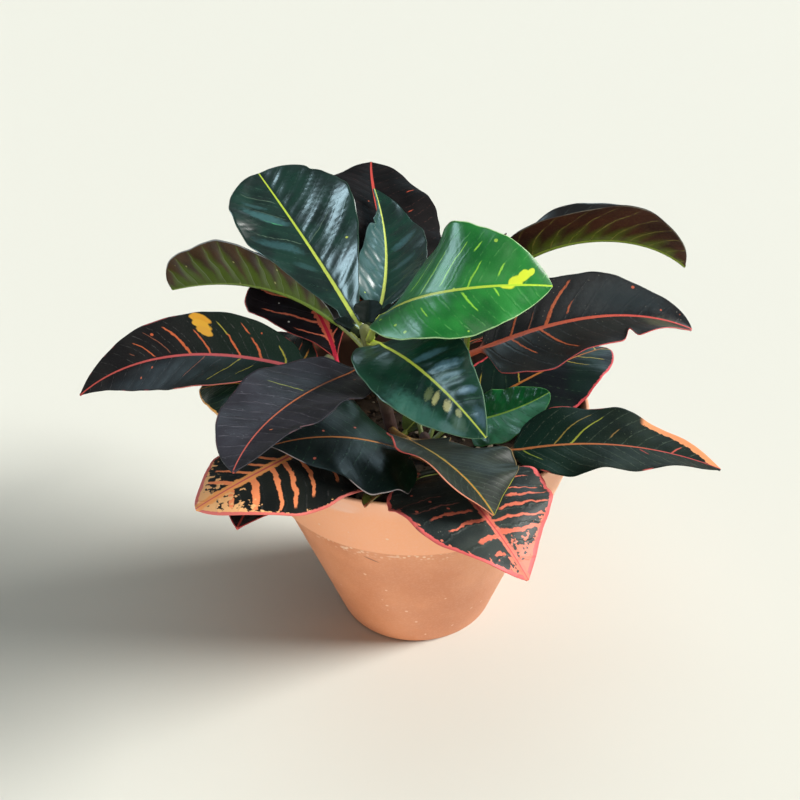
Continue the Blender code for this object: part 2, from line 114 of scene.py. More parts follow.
def make_studio():
    """Floor, camera and lights."""
    bpy.ops.mesh.primitive_plane_add(size=FLOOR_SIZE)
    floor = bpy.context.object
    floor.name = "studio_floor"
    paper, _ = new_material("pale_floor", 0.9, Base_Color=srgb(*FLOOR_PAPER), Specular_IOR_Level=0.1)
    floor.data.materials.append(paper)

    camera_data = bpy.data.cameras.new("camera")
    camera_data.lens = CAMERA_LENS
    camera_data.sensor_width = CAMERA_SENSOR
    camera = bpy.data.objects.new("camera", camera_data)
    turn = Matrix.Rotation(math.radians(CAMERA_TURN_LEFT), 4, "Z")
    tilt = Matrix.Rotation(math.radians(90 - CAMERA_TILT_DOWN), 4, "X")
    roll = Matrix.Rotation(math.radians(CAMERA_ROLL), 4, "Z")
    camera.matrix_world = Matrix.Translation(CAMERA_PLACE) @ turn @ tilt @ roll
    bpy.context.scene.collection.objects.link(camera)
    bpy.context.scene.camera = camera

    for name, (direction, energy, width, colour, on_floor) in SUNS.items():
        shine_on_floor(add_sun(name, direction, energy, width, colour), floor, on_floor)
    for name, (direction, energy, width) in SHEENS.items():
        add_sun(name, direction, energy, width, SHEEN_COLOUR).visible_diffuse = False

    world = bpy.data.worlds.new("room")
    world.use_nodes = True
    sky = world.node_tree.nodes["Background"]
    sky.inputs["Color"].default_value = SKY_COLOUR
    sky.inputs["Strength"].default_value = SKY_STRENGTH
    bpy.context.scene.world = world
    bpy.context.scene.view_settings.view_transform = "Standard"


make_studio()

# Pot: one moulding in satin terracotta-coloured plastic, with a stepped band under its rim and six drain
# holes in its floor. Handling has left it faint scuffs, most of them just under the band. Its rim carries
# painted highlights, its side a painted dark reflection, and its inside wall above the soil painted shade.

RIM_RADIUS = 0.085
POT_HEIGHT = 0.125
BAND_HEIGHT = 0.037
BAND_FOOT = POT_HEIGHT - BAND_HEIGHT
BAND_FOOT_RADIUS = 0.074
BAND_STEP = 0.0025
FOOT_RADIUS = 0.0425
FOOT_ROUNDING = 0.0025
RIM_ROUNDING = 0.0009
LIP_ROUNDING = 0.0005
POT_WALL = 0.0020
POT_STEPS = 180
DRAIN_HOLE_RADIUS = 0.004
DRAIN_HOLE_CIRCLE = 0.024
DRAIN_HOLES = 6
TERRACOTTA = (228, 152, 108)
TERRACOTTA_DARK = (210, 132, 88)
BAND_PALER = (250, 176, 132)
INSIDE_PAINTED_SHADE = (44, 31, 27)
WORN_AND_HIGHLIGHT_PINK = (248, 200, 176)
SCUFF = (250, 214, 186)
SCRATCH = (146, 78, 48)
MARK_RADIUS = 70.0
MOTTLE_SCALE = 26
GRAIN_SCALE = 900
FLECK_SCALE = 420
LOOSE_FLECKS_ABOVE = 0.988
RIM_WEAR_AND_HIGHLIGHT_FROM = 0.112
SCUFFS_BEGIN = (0.0775, 0.0845)
SCUFFS_END = (0.0862, 0.0875)
INSIDE_SHADE_INSET = (0.0012, 0.0018)
INSIDE_SHADE_END = (0.118, 0.1245)
SHARP_EDGE_ANGLE = 35
POT_MARKS = (
    ((-107, 78.5, 4.6, 0.55, -24), SCRATCH, 0.85),
    ((-118, 82.5, 2.4, 1.3, 10), SCUFF, 0.6),
    ((-98, 83.5, 4.0, 0.6, 4), SCUFF, 0.6),
    # The next two marks on the rim are painted highlights.
    ((-112, 117, 6.0, 1.6, -6), WORN_AND_HIGHLIGHT_PINK, 0.35),
    ((-114, 119, 12.0, 5.0, 0), WORN_AND_HIGHLIGHT_PINK, 0.4),
    ((-84, 8, 1.0, 0.7, 0), SCUFF, 0.8),
    ((-66, 12, 1.2, 0.7, 20), SCUFF, 0.7),
    # This long dark diagonal streak is a painted reflection.
    ((-76, 52, 2.6, 26, 24), TERRACOTTA_DARK, 0.35),
)


def arc(centre, radius, start_angle, end_angle, steps):
    """Points of a round corner in a profile, by angles in degrees."""
    points = []
    for step in range(steps + 1):
        angle = math.radians(start_angle + (end_angle - start_angle) * step / steps)
        points.append((centre[0] + radius * math.cos(angle), centre[1] + radius * math.sin(angle)))
    return points


def pot_profile():
    """Radii and heights from the middle of the floor up inside, over the rim and down to the foot."""
    rim_height = POT_HEIGHT - RIM_ROUNDING
    lip = LIP_ROUNDING
    return [
        (0.0, POT_WALL),
        (FOOT_RADIUS - POT_WALL - 0.002, POT_WALL),
        (FOOT_RADIUS - POT_WALL + 0.001, POT_WALL + 0.002),
        (BAND_FOOT_RADIUS - BAND_STEP - POT_WALL, BAND_FOOT),
        (BAND_FOOT_RADIUS - POT_WALL, BAND_FOOT + BAND_STEP),
        *arc((RIM_RADIUS - POT_WALL + RIM_ROUNDING, rim_height), RIM_ROUNDING, 180, 90, 4),
        *arc((RIM_RADIUS - RIM_ROUNDING, rim_height), RIM_ROUNDING, 80, -10, 4),
        *arc((BAND_FOOT_RADIUS - lip, BAND_FOOT + lip), lip, -10, -90, 3),
        *arc((BAND_FOOT_RADIUS - BAND_STEP + lip, BAND_FOOT - lip), lip, 90, 165, 3),
        *arc((FOOT_RADIUS - FOOT_ROUNDING, FOOT_ROUNDING), FOOT_ROUNDING, -18, -90, 6),
        (0.0, 0.0),
    ]


class Shade:
    """A value that a material works out at each point of a surface. It goes into sums as a number does."""

    def __init__(self, socket):
        self.socket = socket
        self.tree = socket.id_data

    def __add__(self, other):
        return calc("ADD", self, other)

    def __sub__(self, other):
        return calc("SUBTRACT", self, other)

    def __rsub__(self, other):
        return calc("SUBTRACT", other, self)

    def __mul__(self, other):
        return calc("MULTIPLY", self, other)

    def __truediv__(self, other):
        return calc("DIVIDE", self, other)

    def __pow__(self, other):
        return calc("POWER", self, other)

    def __abs__(self):
        return calc("ABSOLUTE", self)

    def __gt__(self, other):
        return calc("GREATER_THAN", self, other)

    def __lt__(self, other):
        return calc("LESS_THAN", self, other)


def shader_node(tree, kind, inputs=(), **settings):
    """A shader node with its settings; each input is a plain value or a shade."""
    made = tree.nodes.new("ShaderNode" + kind)
    for name, value in settings.items():
        setattr(made, name, value)
    for name, value in dict(inputs).items():
        if isinstance(value, Shade):
            tree.links.new(value.socket, made.inputs[name])
        else:
            made.inputs[name].default_value = value
    return made


def calc(operation, *values):
    """A Math node's result, from numbers and at least one shade."""
    tree = next(value.tree for value in values if isinstance(value, Shade))
    return Shade(shader_node(tree, "Math", enumerate(values), operation=operation).outputs[0])


def rise(value, low, high):
    """A smooth step from 0 at the low value to 1 at the high one."""
    ends = {"Value": value, "From Min": low, "From Max": high}
    return Shade(shader_node(value.tree, "MapRange", ends, interpolation_type="SMOOTHSTEP").outputs["Result"])


def fall(value, low, high):
    """A smooth step from 1 at the low value to 0 at the high one."""
    return 1.0 - rise(value, low, high)


def tint(cover, below, above):
    """One colour laid over another where it covers; each is a shade or has a paint chart's three values."""
    below, above = (colour if isinstance(colour, Shade) else srgb(*colour) for colour in (below, above))
    mixed = shader_node(cover.tree, "Mix", {"Factor": cover, "A": below, "B": above}, data_type="RGBA")
    return Shade(mixed.outputs["Result"])


def cloud(place, scale, detail=3.0, roughness=0.5):
    """The value of a noise texture at this place."""
    inputs = {"Vector": place, "Scale": scale, "Detail": detail, "Roughness": roughness}
    return Shade(shader_node(place.tree, "TexNoise", inputs).outputs["Fac"])


def separate(shade, kind="XYZ"):
    """The three parts of a place, or of a colour if the kind is Color."""
    return [Shade(output) for output in shader_node(shade.tree, "Separate" + kind, {0: shade}).outputs[:3]]


def combine(x, y, z):
    """A place from its three parts, the first of them a shade."""
    return Shade(shader_node(x.tree, "CombineXYZ", {"X": x, "Y": y, "Z": z}).outputs["Vector"])


def speckle(place, scale):
    """Scattered cells: the distance to the middle of each, and three random numbers of its own."""
    cells = shader_node(place.tree, "TexVoronoi", {"Vector": place, "Scale": scale})
    return Shade(cells.outputs["Distance"]), separate(Shade(cells.outputs["Color"]), "Color")


def bump(height, strength, distance):
    """The surface's direction where this height presses it in and out."""
    inputs = {"Height": height, "Strength": strength, "Distance": distance}
    return Shade(shader_node(height.tree, "Bump", inputs).outputs["Normal"])


def own_place(shader):
    """Where a point lies on its own piece."""
    return Shade(shader_node(shader.id_data, "TexCoord").outputs["Object"])


def wire(shader, **shades):
    """Lead shades to the shader's sockets of the same names."""
    for name, shade in shades.items():
        shader.id_data.links.new(shade.socket, shader.inputs[name.replace("_", " ")])


def spot_on_pot(angle, height, spot):
    """A soft mark on the pot's side, 1 in its middle, by its angle, height, half sizes and tilt."""
    centre_angle, centre_height, half_length, half_width, tilt = spot
    turn = (angle - math.radians(centre_angle)) * MARK_RADIUS
    climb = height * 1000 - centre_height
    lean = math.radians(tilt)
    long_way = turn * math.cos(lean) + climb * math.sin(lean)
    cross_way = climb * math.cos(lean) - turn * math.sin(lean)
    return fall((long_way / half_length) ** 2 + (cross_way / half_width) ** 2, 0.3, 1.0)


def plastic_material():
    """Terracotta-coloured plastic: paler band, mottle, grain, scuffs, marks; painted highlight, reflection
    and shade.
    """
    plastic, shader = new_material("terracotta_plastic", 0.4, Specular_IOR_Level=0.45)
    place = own_place(shader)
    x, y, height = separate(place)
    angle = calc("ARCTAN2", y, x)

    colour = tint(rise(cloud(place, MOTTLE_SCALE, 4), 0.3, 0.7), TERRACOTTA, TERRACOTTA_DARK)
    # The band, above its step, is paler than the body below it.
    colour = tint(rise(height, BAND_FOOT - 0.0004, BAND_FOOT + 0.0008), colour, BAND_PALER)
    # The rim's top is paler: partly wear, partly a painted highlight.
    colour = tint(rise(height, RIM_WEAR_AND_HIGHLIGHT_FROM, POT_HEIGHT) * cloud(place, 60) * 0.7, colour, WORN_AND_HIGHLIGHT_PINK)
    grain = cloud(place, GRAIN_SCALE, 4)
    colour = tint(rise(grain, 0.4, 0.8) * 0.16, colour, WORN_AND_HIGHLIGHT_PINK)

    distance, draws = speckle(place, FLECK_SCALE)
    fleck = fall(distance, 0.22, 0.42)
    under_band = rise(height, *SCUFFS_BEGIN) * fall(height, *SCUFFS_END)
    scuffed = fleck * under_band * rise(cloud(place, 60, 2), 0.44, 0.56)
    colour = tint(scuffed * 0.85, colour, SCUFF)
    colour = tint(fleck * (draws[0] > LOOSE_FLECKS_ABOVE) * 0.7, colour, SCUFF)
    for spot, mark_colour, strength in POT_MARKS:
        colour = tint(spot_on_pot(angle, height, spot) * strength, colour, mark_colour)

    # Painted shade: the inside wall above the soil is darkened to dark brown.
    outside = (height - BAND_FOOT) * ((RIM_RADIUS - BAND_FOOT_RADIUS) / BAND_HEIGHT) + BAND_FOOT_RADIUS
    inset = outside - calc("SQRT", x**2 + y**2)
    inside_shade = rise(inset, *INSIDE_SHADE_INSET) * fall(height, *INSIDE_SHADE_END) * (height > BAND_FOOT + BAND_STEP)
    colour = tint(inside_shade * 0.85, colour, INSIDE_PAINTED_SHADE)

    worn = cloud(place, 34, 5) * 0.22 + 0.32 + scuffed * 0.25
    surface = cloud(place, 120) * 0.8 + grain
    wire(shader, Base_Color=colour, Roughness=worn, Normal=bump(surface, 0.35, 0.0002))
    return plastic


def make_pot():
    """The turned shell with its drain holes."""
    mesh = bpy.data.meshes.new("plastic_pot")
    points = [(radius, 0.0, height) for radius, height in pot_profile()]
    mesh.from_pydata(points, [(i, i + 1) for i in range(len(points) - 1)], [])
    shell = bpy.data.objects.new("turned_shell", mesh)
    bpy.context.scene.collection.objects.link(shell)
    turn = shell.modifiers.new("turn", "SCREW")
    turn.steps = POT_STEPS
    turn.render_steps = POT_STEPS
    turn.use_merge_vertices = True
    turn.merge_threshold = 1e-5

    drills = bmesh.new()
    for hole in range(DRAIN_HOLES):
        angle = 2 * math.pi * hole / DRAIN_HOLES
        centre = (DRAIN_HOLE_CIRCLE * math.cos(angle), DRAIN_HOLE_CIRCLE * math.sin(angle), POT_WALL / 2)
        bmesh.ops.create_cone(
            drills, cap_ends=True, segments=32, radius1=DRAIN_HOLE_RADIUS, radius2=DRAIN_HOLE_RADIUS,
            depth=3 * POT_WALL, matrix=Matrix.Translation(centre),
        )
    drill_mesh = bpy.data.meshes.new("drain_drills")
    drills.to_mesh(drill_mesh)
    drills.free()
    drill = bpy.data.objects.new("drain_drills", drill_mesh)
    bpy.context.scene.collection.objects.link(drill)
    holes = shell.modifiers.new("drain_holes", "BOOLEAN")
    holes.operation = "DIFFERENCE"
    holes.solver = "EXACT"
    holes.object = drill
    moulded = bpy.data.meshes.new_from_object(shell.evaluated_get(bpy.context.evaluated_depsgraph_get()))
    bpy.data.objects.remove(drill)
    bpy.data.objects.remove(shell)

    moulded.shade_smooth()
    moulded.set_sharp_from_angle(angle=math.radians(SHARP_EDGE_ANGLE))
    moulded.materials.clear()
    moulded.materials.append(plastic_material())
    pot = bpy.data.objects.new("plastic_pot", moulded)
    bpy.context.scene.collection.objects.link(pot)
    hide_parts("pot")
    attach(pot, "root")


make_pot()

# Soil: dark peat mix, pressed in by hand to a little under the rim, with crumbs, bark chips and a few grains
# of pale grit on its surface. Nothing holds it but the pot.

SOIL_TOP = 0.108
SOIL_CLEARANCE = 0.0003
SOIL_RINGS = 46
SOIL_SIDES = 144
CRUMBS = 900
CRUMB_SIZE = 0.0007
CRUMB_SIZE_SPREAD = 0.0016
CRUMB_ROUGHNESS = 0.13
CRUMB_LIFT = 0.3
CRUMB_FREE_EDGE = 0.003
SOIL_WAVE = 0.0009
SOIL_RIPPLE = 0.0005
SOIL_SINK = 0.0016
PEAT_GRAIN_SCALE = 420
GRIT_SHARE = 0.06
CHIP_SHARE = 0.22
CRUMB_GIRTH = (1.0, 0.75, 0.6)
CHIP_GIRTH = (1.9, 0.9, 0.35)
PEAT = (38, 30, 24)
PEAT_PALE = (74, 60, 46)
BARK_CHIP = (98, 72, 50)
GRIT = (190, 182, 160)
CRUMB_KINDS = (
    ("peat_crumb", PEAT, PEAT_PALE),
    ("bark_chip", PEAT_PALE, BARK_CHIP),
    ("grit", BARK_CHIP, GRIT),
)


def inside_radius(height):
    """The pot's inner radius at this height."""
    inside = pot_profile()[1:6]
    return float(np.interp(height, [z for radius, z in inside], [radius for radius, z in inside]))


def peat_material(name, dark, pale):
    """Peat or bark: a coarse mottle with a grainy, matt surface."""
    peat, shader = new_material(name, 0.95, Specular_IOR_Level=0.2)
    grain = cloud(own_place(shader), PEAT_GRAIN_SCALE, 6, 0.7)
    wire(shader, Base_Color=tint(grain, dark, pale), Normal=bump(grain, 0.9, 0.001))
    return peat


def soil_bumps(x, y):
    """Height of the pressed surface above its mean level."""
    waves = np.sin(95 * x + 1.3) * np.sin(110 * y + 0.4) + 0.5 * np.sin(260 * x - 170 * y)
    ripple = np.sin(520 * x + 3 * np.sin(300 * y))
    return float(SOIL_WAVE * waves + SOIL_RIPPLE * ripple - SOIL_SINK)


def ring_corners(centre, radius, sides):
    """Corners around a level circle."""
    x, y, z = centre
    angles = [2 * math.pi * side / sides for side in range(sides)]
    return [(x + radius * math.cos(angle), y + radius * math.sin(angle), z) for angle in angles]


def ring_quads(rings, sides, start=0):
    """The faces between rings of corners that follow one another, the first of them numbered start."""
    quads = []
    for ring in range(rings - 1):
        for side in range(sides):
            a = start + ring * sides + side
            b = start + ring * sides + (side + 1) % sides
            quads.append((a, b, b + sides, a + sides))
    return quads


def make_fill():
    """The fill: its uneven top in rings from the middle outwards, then its side down the pot's wall."""
    corners = [(0.0, 0.0, SOIL_TOP + soil_bumps(0.0, 0.0))]
    for ring in range(1, SOIL_RINGS + 1):
        for x, y, z in ring_corners((0, 0, 0), SOIL_RADIUS * ring / SOIL_RINGS, SOIL_SIDES):
            height = SOIL_TOP + soil_bumps(x, y)
            if ring == SOIL_RINGS:
                to_wall = (inside_radius(height) - SOIL_CLEARANCE) / SOIL_RADIUS
                x, y = x * to_wall, y * to_wall
            corners.append((x, y, height))
    floor = POT_WALL + SOIL_CLEARANCE
    side_heights = (BAND_FOOT + BAND_STEP, BAND_FOOT, 0.03, floor + 0.002, floor)
    for height in side_heights:
        corners += ring_corners((0, 0, height), inside_radius(height) - SOIL_CLEARANCE, SOIL_SIDES)
    faces = [(0, 1 + side, 1 + (side + 1) % SOIL_SIDES) for side in range(SOIL_SIDES)]
    for a, b, below_b, below_a in ring_quads(SOIL_RINGS + len(side_heights), SOIL_SIDES, 1):
        faces.append((a, below_a, below_b, b))
    faces.append(tuple(range(len(corners) - SOIL_SIDES, len(corners)))[::-1])
    mesh = bpy.data.meshes.new("potting_mix")
    mesh.from_pydata(corners, [], faces)
    mesh.shade_smooth()
    mesh.materials.append(peat_material("peat", PEAT, PEAT_PALE))
    soil = bpy.data.objects.new("potting_mix", mesh)
    bpy.context.scene.collection.objects.link(soil)
    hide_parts("soil")
    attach(soil, "root")


def make_crumbs():
    """Crumbs, bark chips and grit, strewn over the fill."""
    chance = np.random.default_rng(7)
    shape = bmesh.new()
    for crumb in range(CRUMBS):
        radius = (SOIL_RADIUS - CRUMB_FREE_EDGE) * math.sqrt(chance.random())
        angle = 2 * math.pi * chance.random()
        x = radius * math.cos(angle)
        y = radius * math.sin(angle)
        size = CRUMB_SIZE + CRUMB_SIZE_SPREAD * chance.random() ** 2
        kind = 2 if chance.random() < GRIT_SHARE else (1 if chance.random() < CHIP_SHARE else 0)
        girth = CHIP_GIRTH if kind == 1 else CRUMB_GIRTH
        turn = Matrix.Rotation(2 * math.pi * chance.random(), 4, "Z")
        turn = turn @ Matrix.Rotation(chance.random() - 0.5, 4, "X")
        place = Matrix.Translation((x, y, SOIL_TOP + soil_bumps(x, y) + size * CRUMB_LIFT))
        shaped = place @ turn @ Matrix.Diagonal((*girth, 1.0))
        made = bmesh.ops.create_icosphere(shape, subdivisions=1, radius=size, matrix=shaped)
        for corner in made["verts"]:
            corner.co += Vector(chance.normal(size=3)) * size * CRUMB_ROUGHNESS
        for face in {face for corner in made["verts"] for face in corner.link_faces}:
            face.material_index = kind
    mesh = bpy.data.meshes.new("soil_crumbs")
    shape.to_mesh(mesh)
    shape.free()
    for name, dark, pale in CRUMB_KINDS:
        mesh.materials.append(peat_material(name, dark, pale))
    crumbs = bpy.data.objects.new("soil_crumbs", mesh)
    bpy.context.scene.collection.objects.link(crumbs)
    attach(crumbs, "root")


SOIL_RADIUS = inside_radius(SOIL_TOP) - SOIL_CLEARANCE - 0.0002
make_fill()
make_crumbs()

# Stems: young woody cuttings with smooth, grey-brown bark, ringed by the scars of leaves that have dropped.
# They stand in the mix without a fixing, and each ends in a small green growing tip among its leaf stalks.

STEM_FOOT_RADIUS = 0.0034
STEM_TOP_RADIUS = 0.0030
STEM_DEPTH = 0.038
STEM_TIP = 0.0035
STEM_SIDES = 20
STEM_RING_SPACING = 0.0007
STEM_LINES = {
    "main": (Vector((-0.0080, -0.0180, 0.105)), Vector((-0.0208, -0.0222, 0.173))),
    "left": (Vector((-0.0340, -0.0060, 0.105)), Vector((-0.0400, -0.0040, 0.148))),
    "right": (Vector((0.0160, -0.0040, 0.105)), Vector((0.0210, -0.0060, 0.150))),
    "front": (Vector((0.0140, -0.0420, 0.105)), Vector((0.0160, -0.0460, 0.127))),
    "back": (Vector((0.0000, 0.0300, 0.105)), Vector((-0.0020, 0.0360, 0.168))),
    "pruned": (Vector((0.0060, -0.0240, 0.105)), Vector((0.0050, -0.0260, 0.1185))),
}
LEAF_SCAR_SPACING = 0.0065
LEAF_SCAR_SWELLING = 0.10
STEM_WAIST = 0.94
STREAK_SCALE = 1400
STREAK_STRETCH = (1.0, 1.0, 0.15)
YOUNG_BARK_HEIGHTS = (0.125, 0.170)
BARK = (112, 86, 78)
BARK_DARK = (58, 42, 40)
YOUNG_BARK = (118, 124, 70)


def stem_point(stem, height):
    """The point of the stem's axis at this height."""
    foot, top = STEM_LINES[stem]
    return foot.lerp(top, (height - foot.z) / (top.z - foot.z))


def bark_material():
    """Bark: brown with fine lengthwise streaks, and greener towards the tip."""
    bark, shader = new_material("young_bark", 0.7)
    place = own_place(shader)
    stretched = shader_node(place.tree, "Mapping", {"Vector": place, "Scale": STREAK_STRETCH})
    streaks = cloud(Shade(stretched.outputs["Vector"]), STREAK_SCALE, 4)
    height = separate(place)[2]
    colour = tint(rise(height, *YOUNG_BARK_HEIGHTS), tint(streaks, BARK_DARK, BARK), YOUNG_BARK)
    wire(shader, Base_Color=colour, Normal=bump(streaks, 0.6, 0.0004))
    return bark


def ring_tube(name, centres, radii, sides, material):
    """A closed tube through level rings, with rounded ends given by its radii."""
    corners = []
    for centre, radius in zip(centres, radii):
        corners += ring_corners(centre, radius, sides)
    caps = [tuple(range(sides))[::-1], tuple(range(len(corners) - sides, len(corners)))]
    mesh = bpy.data.meshes.new(name)
    mesh.from_pydata(corners, [], caps + ring_quads(len(centres), sides))
    mesh.shade_smooth()
    mesh.materials.append(material)
    tube = bpy.data.objects.new(name, mesh)
    bpy.context.scene.collection.objects.link(tube)
    return tube


def make_stems():
    """Each stem, swollen a little at its leaf scars and closed by a rounded tip."""
    bark = bark_material()
    for stem, (foot, top) in STEM_LINES.items():
        bottom = SOIL_TOP - STEM_DEPTH
        heights = np.arange(bottom, top.z + STEM_TIP, STEM_RING_SPACING)
        radii = []
        for height in heights:
            climb = (height - bottom) / (top.z - bottom)
            radius = STEM_FOOT_RADIUS + (STEM_TOP_RADIUS - STEM_FOOT_RADIUS) * min(climb, 1.0)
            scar = abs(math.sin(math.pi * height / LEAF_SCAR_SPACING))
            radius *= STEM_WAIST + LEAF_SCAR_SWELLING * (1 - scar) ** 3
            above = max(height - (top.z - 0.001), 0.0) / (STEM_TIP + 0.001)
            radii.append(max(radius * math.sqrt(max(1 - above**2, 0.0)), 0.0003))
        centres = [stem_point(stem, height) for height in heights]
        tube = ring_tube(f"woody_stem_{stem}", centres, radii, STEM_SIDES, bark)
        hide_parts(f"stem_{stem}")
        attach(tube, "root")


make_stems()

# Cut stalks: four leaf stalks that were pruned off the short stem in front. They are green and fleshy, with a
# pale, slightly hollow cut end.

CUT_STALK_RADIUS = 0.0012
CUT_STALK_LENGTH = 0.008
CUT_STALK_RISE = 40
CUT_STALK_HEADINGS = (105, 60, 20, -25)
CUT_STALK_SIDES = 16
CUT_STALK_ROOT = -0.0012
CUT_STALK_PROFILE = ((0.0, 1.1), (0.5, 0.95), (0.97, 1.0), (1.0, 0.92), (1.0, 0.62), (0.965, 0.5))
STALK_GREEN = (146, 160, 88)
STALK_GREEN_DEEP = (110, 130, 60)
STALK_CUT = (222, 214, 170)


def stalk_material():
    """Fresh stalk: yellow-green, with faint streaks along it."""
    fresh, shader = new_material("fresh_stalk", 0.45)
    wire(shader, Base_Color=tint(cloud(own_place(shader), 900), STALK_GREEN_DEEP, STALK_GREEN))
    return fresh


def make_cut_stalks():
    """Short round stubs around the pruned stem's top, each with a pale, sunken end."""
    fresh = stalk_material()
    cut, _ = new_material("cut_stalk_end", 0.6, Base_Color=srgb(*STALK_CUT))
    top = STEM_LINES["pruned"][1]
    rise_angle = math.radians(CUT_STALK_RISE)
    clear = STEM_FOOT_RADIUS + 0.0003 + CUT_STALK_RADIUS * math.sin(rise_angle)
    heights = [CUT_STALK_ROOT] + [share * CUT_STALK_LENGTH for share, girth in CUT_STALK_PROFILE]
    centres = [(0, 0, height) for height in heights]
    radii = [CUT_STALK_RADIUS * girth for girth in (1.15, *(girth for share, girth in CUT_STALK_PROFILE))]
    for number, heading in enumerate(CUT_STALK_HEADINGS, 1):
        turn = math.radians(heading)
        outward = Vector((math.cos(turn), math.sin(turn), 0))
        start = top + outward * clear - Vector((0, 0, 2 * CUT_STALK_RADIUS))
        direction = outward * math.cos(rise_angle) + Vector((0, 0, math.sin(rise_angle)))
        stub = ring_tube(f"pruned_stalk_{number}", centres, radii, CUT_STALK_SIDES, fresh)
        stub.data.materials.append(cut)
        for face in stub.data.polygons:
            face.material_index = int(face.center.z > 0.95 * CUT_STALK_LENGTH)
        stub.matrix_world = Matrix.Translation(start) @ direction.to_track_quat("Z", "Y").to_matrix().to_4x4()
        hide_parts(f"cut_stalk_{number}")
        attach(stub, "root")


make_cut_stalks()

# Crown leaves: the youngest full leaves, most of them at the top of the main stem, still glossy green with a
# yellow-green midrib. Each is one living sheet that grows from its stem: a round stalk that runs on as the
# midrib, and a blade quilted between its side veins.

MM = 0.001
STALK_RADIUS = 0.0014
STALK_START = 0.0039
STEEP_STALK_START = 0.0014
STALK_ROOT = 1.6
PATH_STEPS = 60
WAVE_HEIGHT = 0.06
WAVES = 3
WAVE_TURN = 2.4
RIGHT_WAVE_LAG = 1.7
MIDRIB_TIP_THICKNESS = 0.0010
BLADE_THICKNESS = 0.0006
NARROWEST_BLADE = 0.0004
RIPPLE_DEPTH = 0.012
PUCKER_SHARE = 0.7
RIDGE_HEIGHT = 0.00035
RIDGE_WIDTH = 0.0008
KEEL_WIDTH = 0.0013
STALK_SWELLING = 0.35
RINGS_PER_VEIN = 10
STALK_RINGS = 8
ACROSS_STEPS = (0.0, 0.02, 0.045, 0.08, 0.14, 0.22, 0.31, 0.40, 0.50, 0.60, 0.70, 0.80, 0.89, 0.96, 1.0)
LEAF_DEFAULTS = dict(
    turn=0, skew=0, roll=0, twist=0, left_fold=12, right_fold=12, cup=0, side_veins=13, vein_slope=0.55,
    quilt=0.5, shoulder=0.0, stalk_blend=0.10, notches=(), in_cad=True,
)


def smooth(value, low, high):
    """0 below the low value, 1 above the high one, and a smooth step between."""
    share = np.clip((value - low) / (high - low), 0, 1)
    return share * share * (3 - 2 * share)


def leaf_path(leaf):
    """Stations along the stalk and midrib: share of the length, point, forward, left and up."""
    share = np.linspace(0, 1, PATH_STEPS + 1)
    heading = np.radians(leaf["heading"] + leaf["turn"] * share)
    slope = np.radians(leaf["rise"] - leaf["droop"] * share ** leaf["late"])
    level = np.stack([np.cos(heading), np.sin(heading), 0 * heading], axis=-1)
    forward = level * np.cos(slope)[:, None]
    forward[:, 2] = np.sin(slope)
    start = STALK_START + STEEP_STALK_START * abs(math.sin(math.radians(leaf["rise"])))
    root = np.array(stem_point(leaf["stem"], leaf["height"] * MM)) + level[0] * start
    steps = (forward[1:] + forward[:-1]) / 2 * leaf["length"] * MM / PATH_STEPS
    points = np.vstack([root, root + np.cumsum(steps, axis=0)])
    flat_left = np.stack([-np.sin(heading), np.cos(heading), 0 * heading], axis=-1)
    flat_up = np.cross(forward, flat_left)
    roll = np.radians(leaf["roll"] + leaf["twist"] * share)[:, None]
    left = flat_left * np.cos(roll) + flat_up * np.sin(roll)
    up = flat_up * np.cos(roll) - flat_left * np.sin(roll)
    return share, points, forward, left, up


def blade_widths(leaf, blade, side):
    """How far the blade swells at each station, as a share, and its width there with ripples and notches."""
    bend = math.log(0.5) / math.log(leaf["widest"])
    swell = np.clip(np.sin(math.pi * blade**bend), 0, 1) ** leaf["fullness"]
    swell = np.maximum(swell, leaf["shoulder"] * smooth(blade, -0.02, 0.05) * (1 - smooth(blade, 0.05, 0.45)))
    width = np.maximum(leaf["half_width"] * MM * swell, NARROWEST_BLADE) * (1 + side * leaf["skew"])
    number = leaf["number"]
    ripple = RIPPLE_DEPTH * np.sin(41 * blade + 3 * side + number) * np.sin(23 * blade + 2 * number)
    width = width * (1 + ripple * smooth(blade, 0.05, 0.15))
    for notch_side, notch_place, depth, length in leaf["notches"]:
        cut = depth * np.exp(-(((blade - notch_place) / length) ** 2))
        width = width * np.where(side == notch_side, 1 - cut, 1)
    return swell, width


def blade_relief(leaf, blade, side, out, vein):
    """The quilting between side veins and a finer pucker, before the blade's swell scales them."""
    number = leaf["number"]
    quilt = np.abs(np.sin(math.pi * vein)) ** 0.9 - 0.6
    strength = 0.65 + 0.35 * np.sin(2.3 * np.floor(vein) + 1.9 * number + 2 * side)
    fade = smooth(out, 0.0, 0.18) * (1 - smooth(out, 0.78, 1.0)) * smooth(blade, 0.0, 0.12)
    pucker = np.sin(5.1 * out * side + 17 * blade + number) * np.sin(11 * blade - 3.3 * out + number)
    return leaf["quilt"] * (quilt * strength * fade + PUCKER_SHARE * pucker * smooth(out, 0, 0.4))


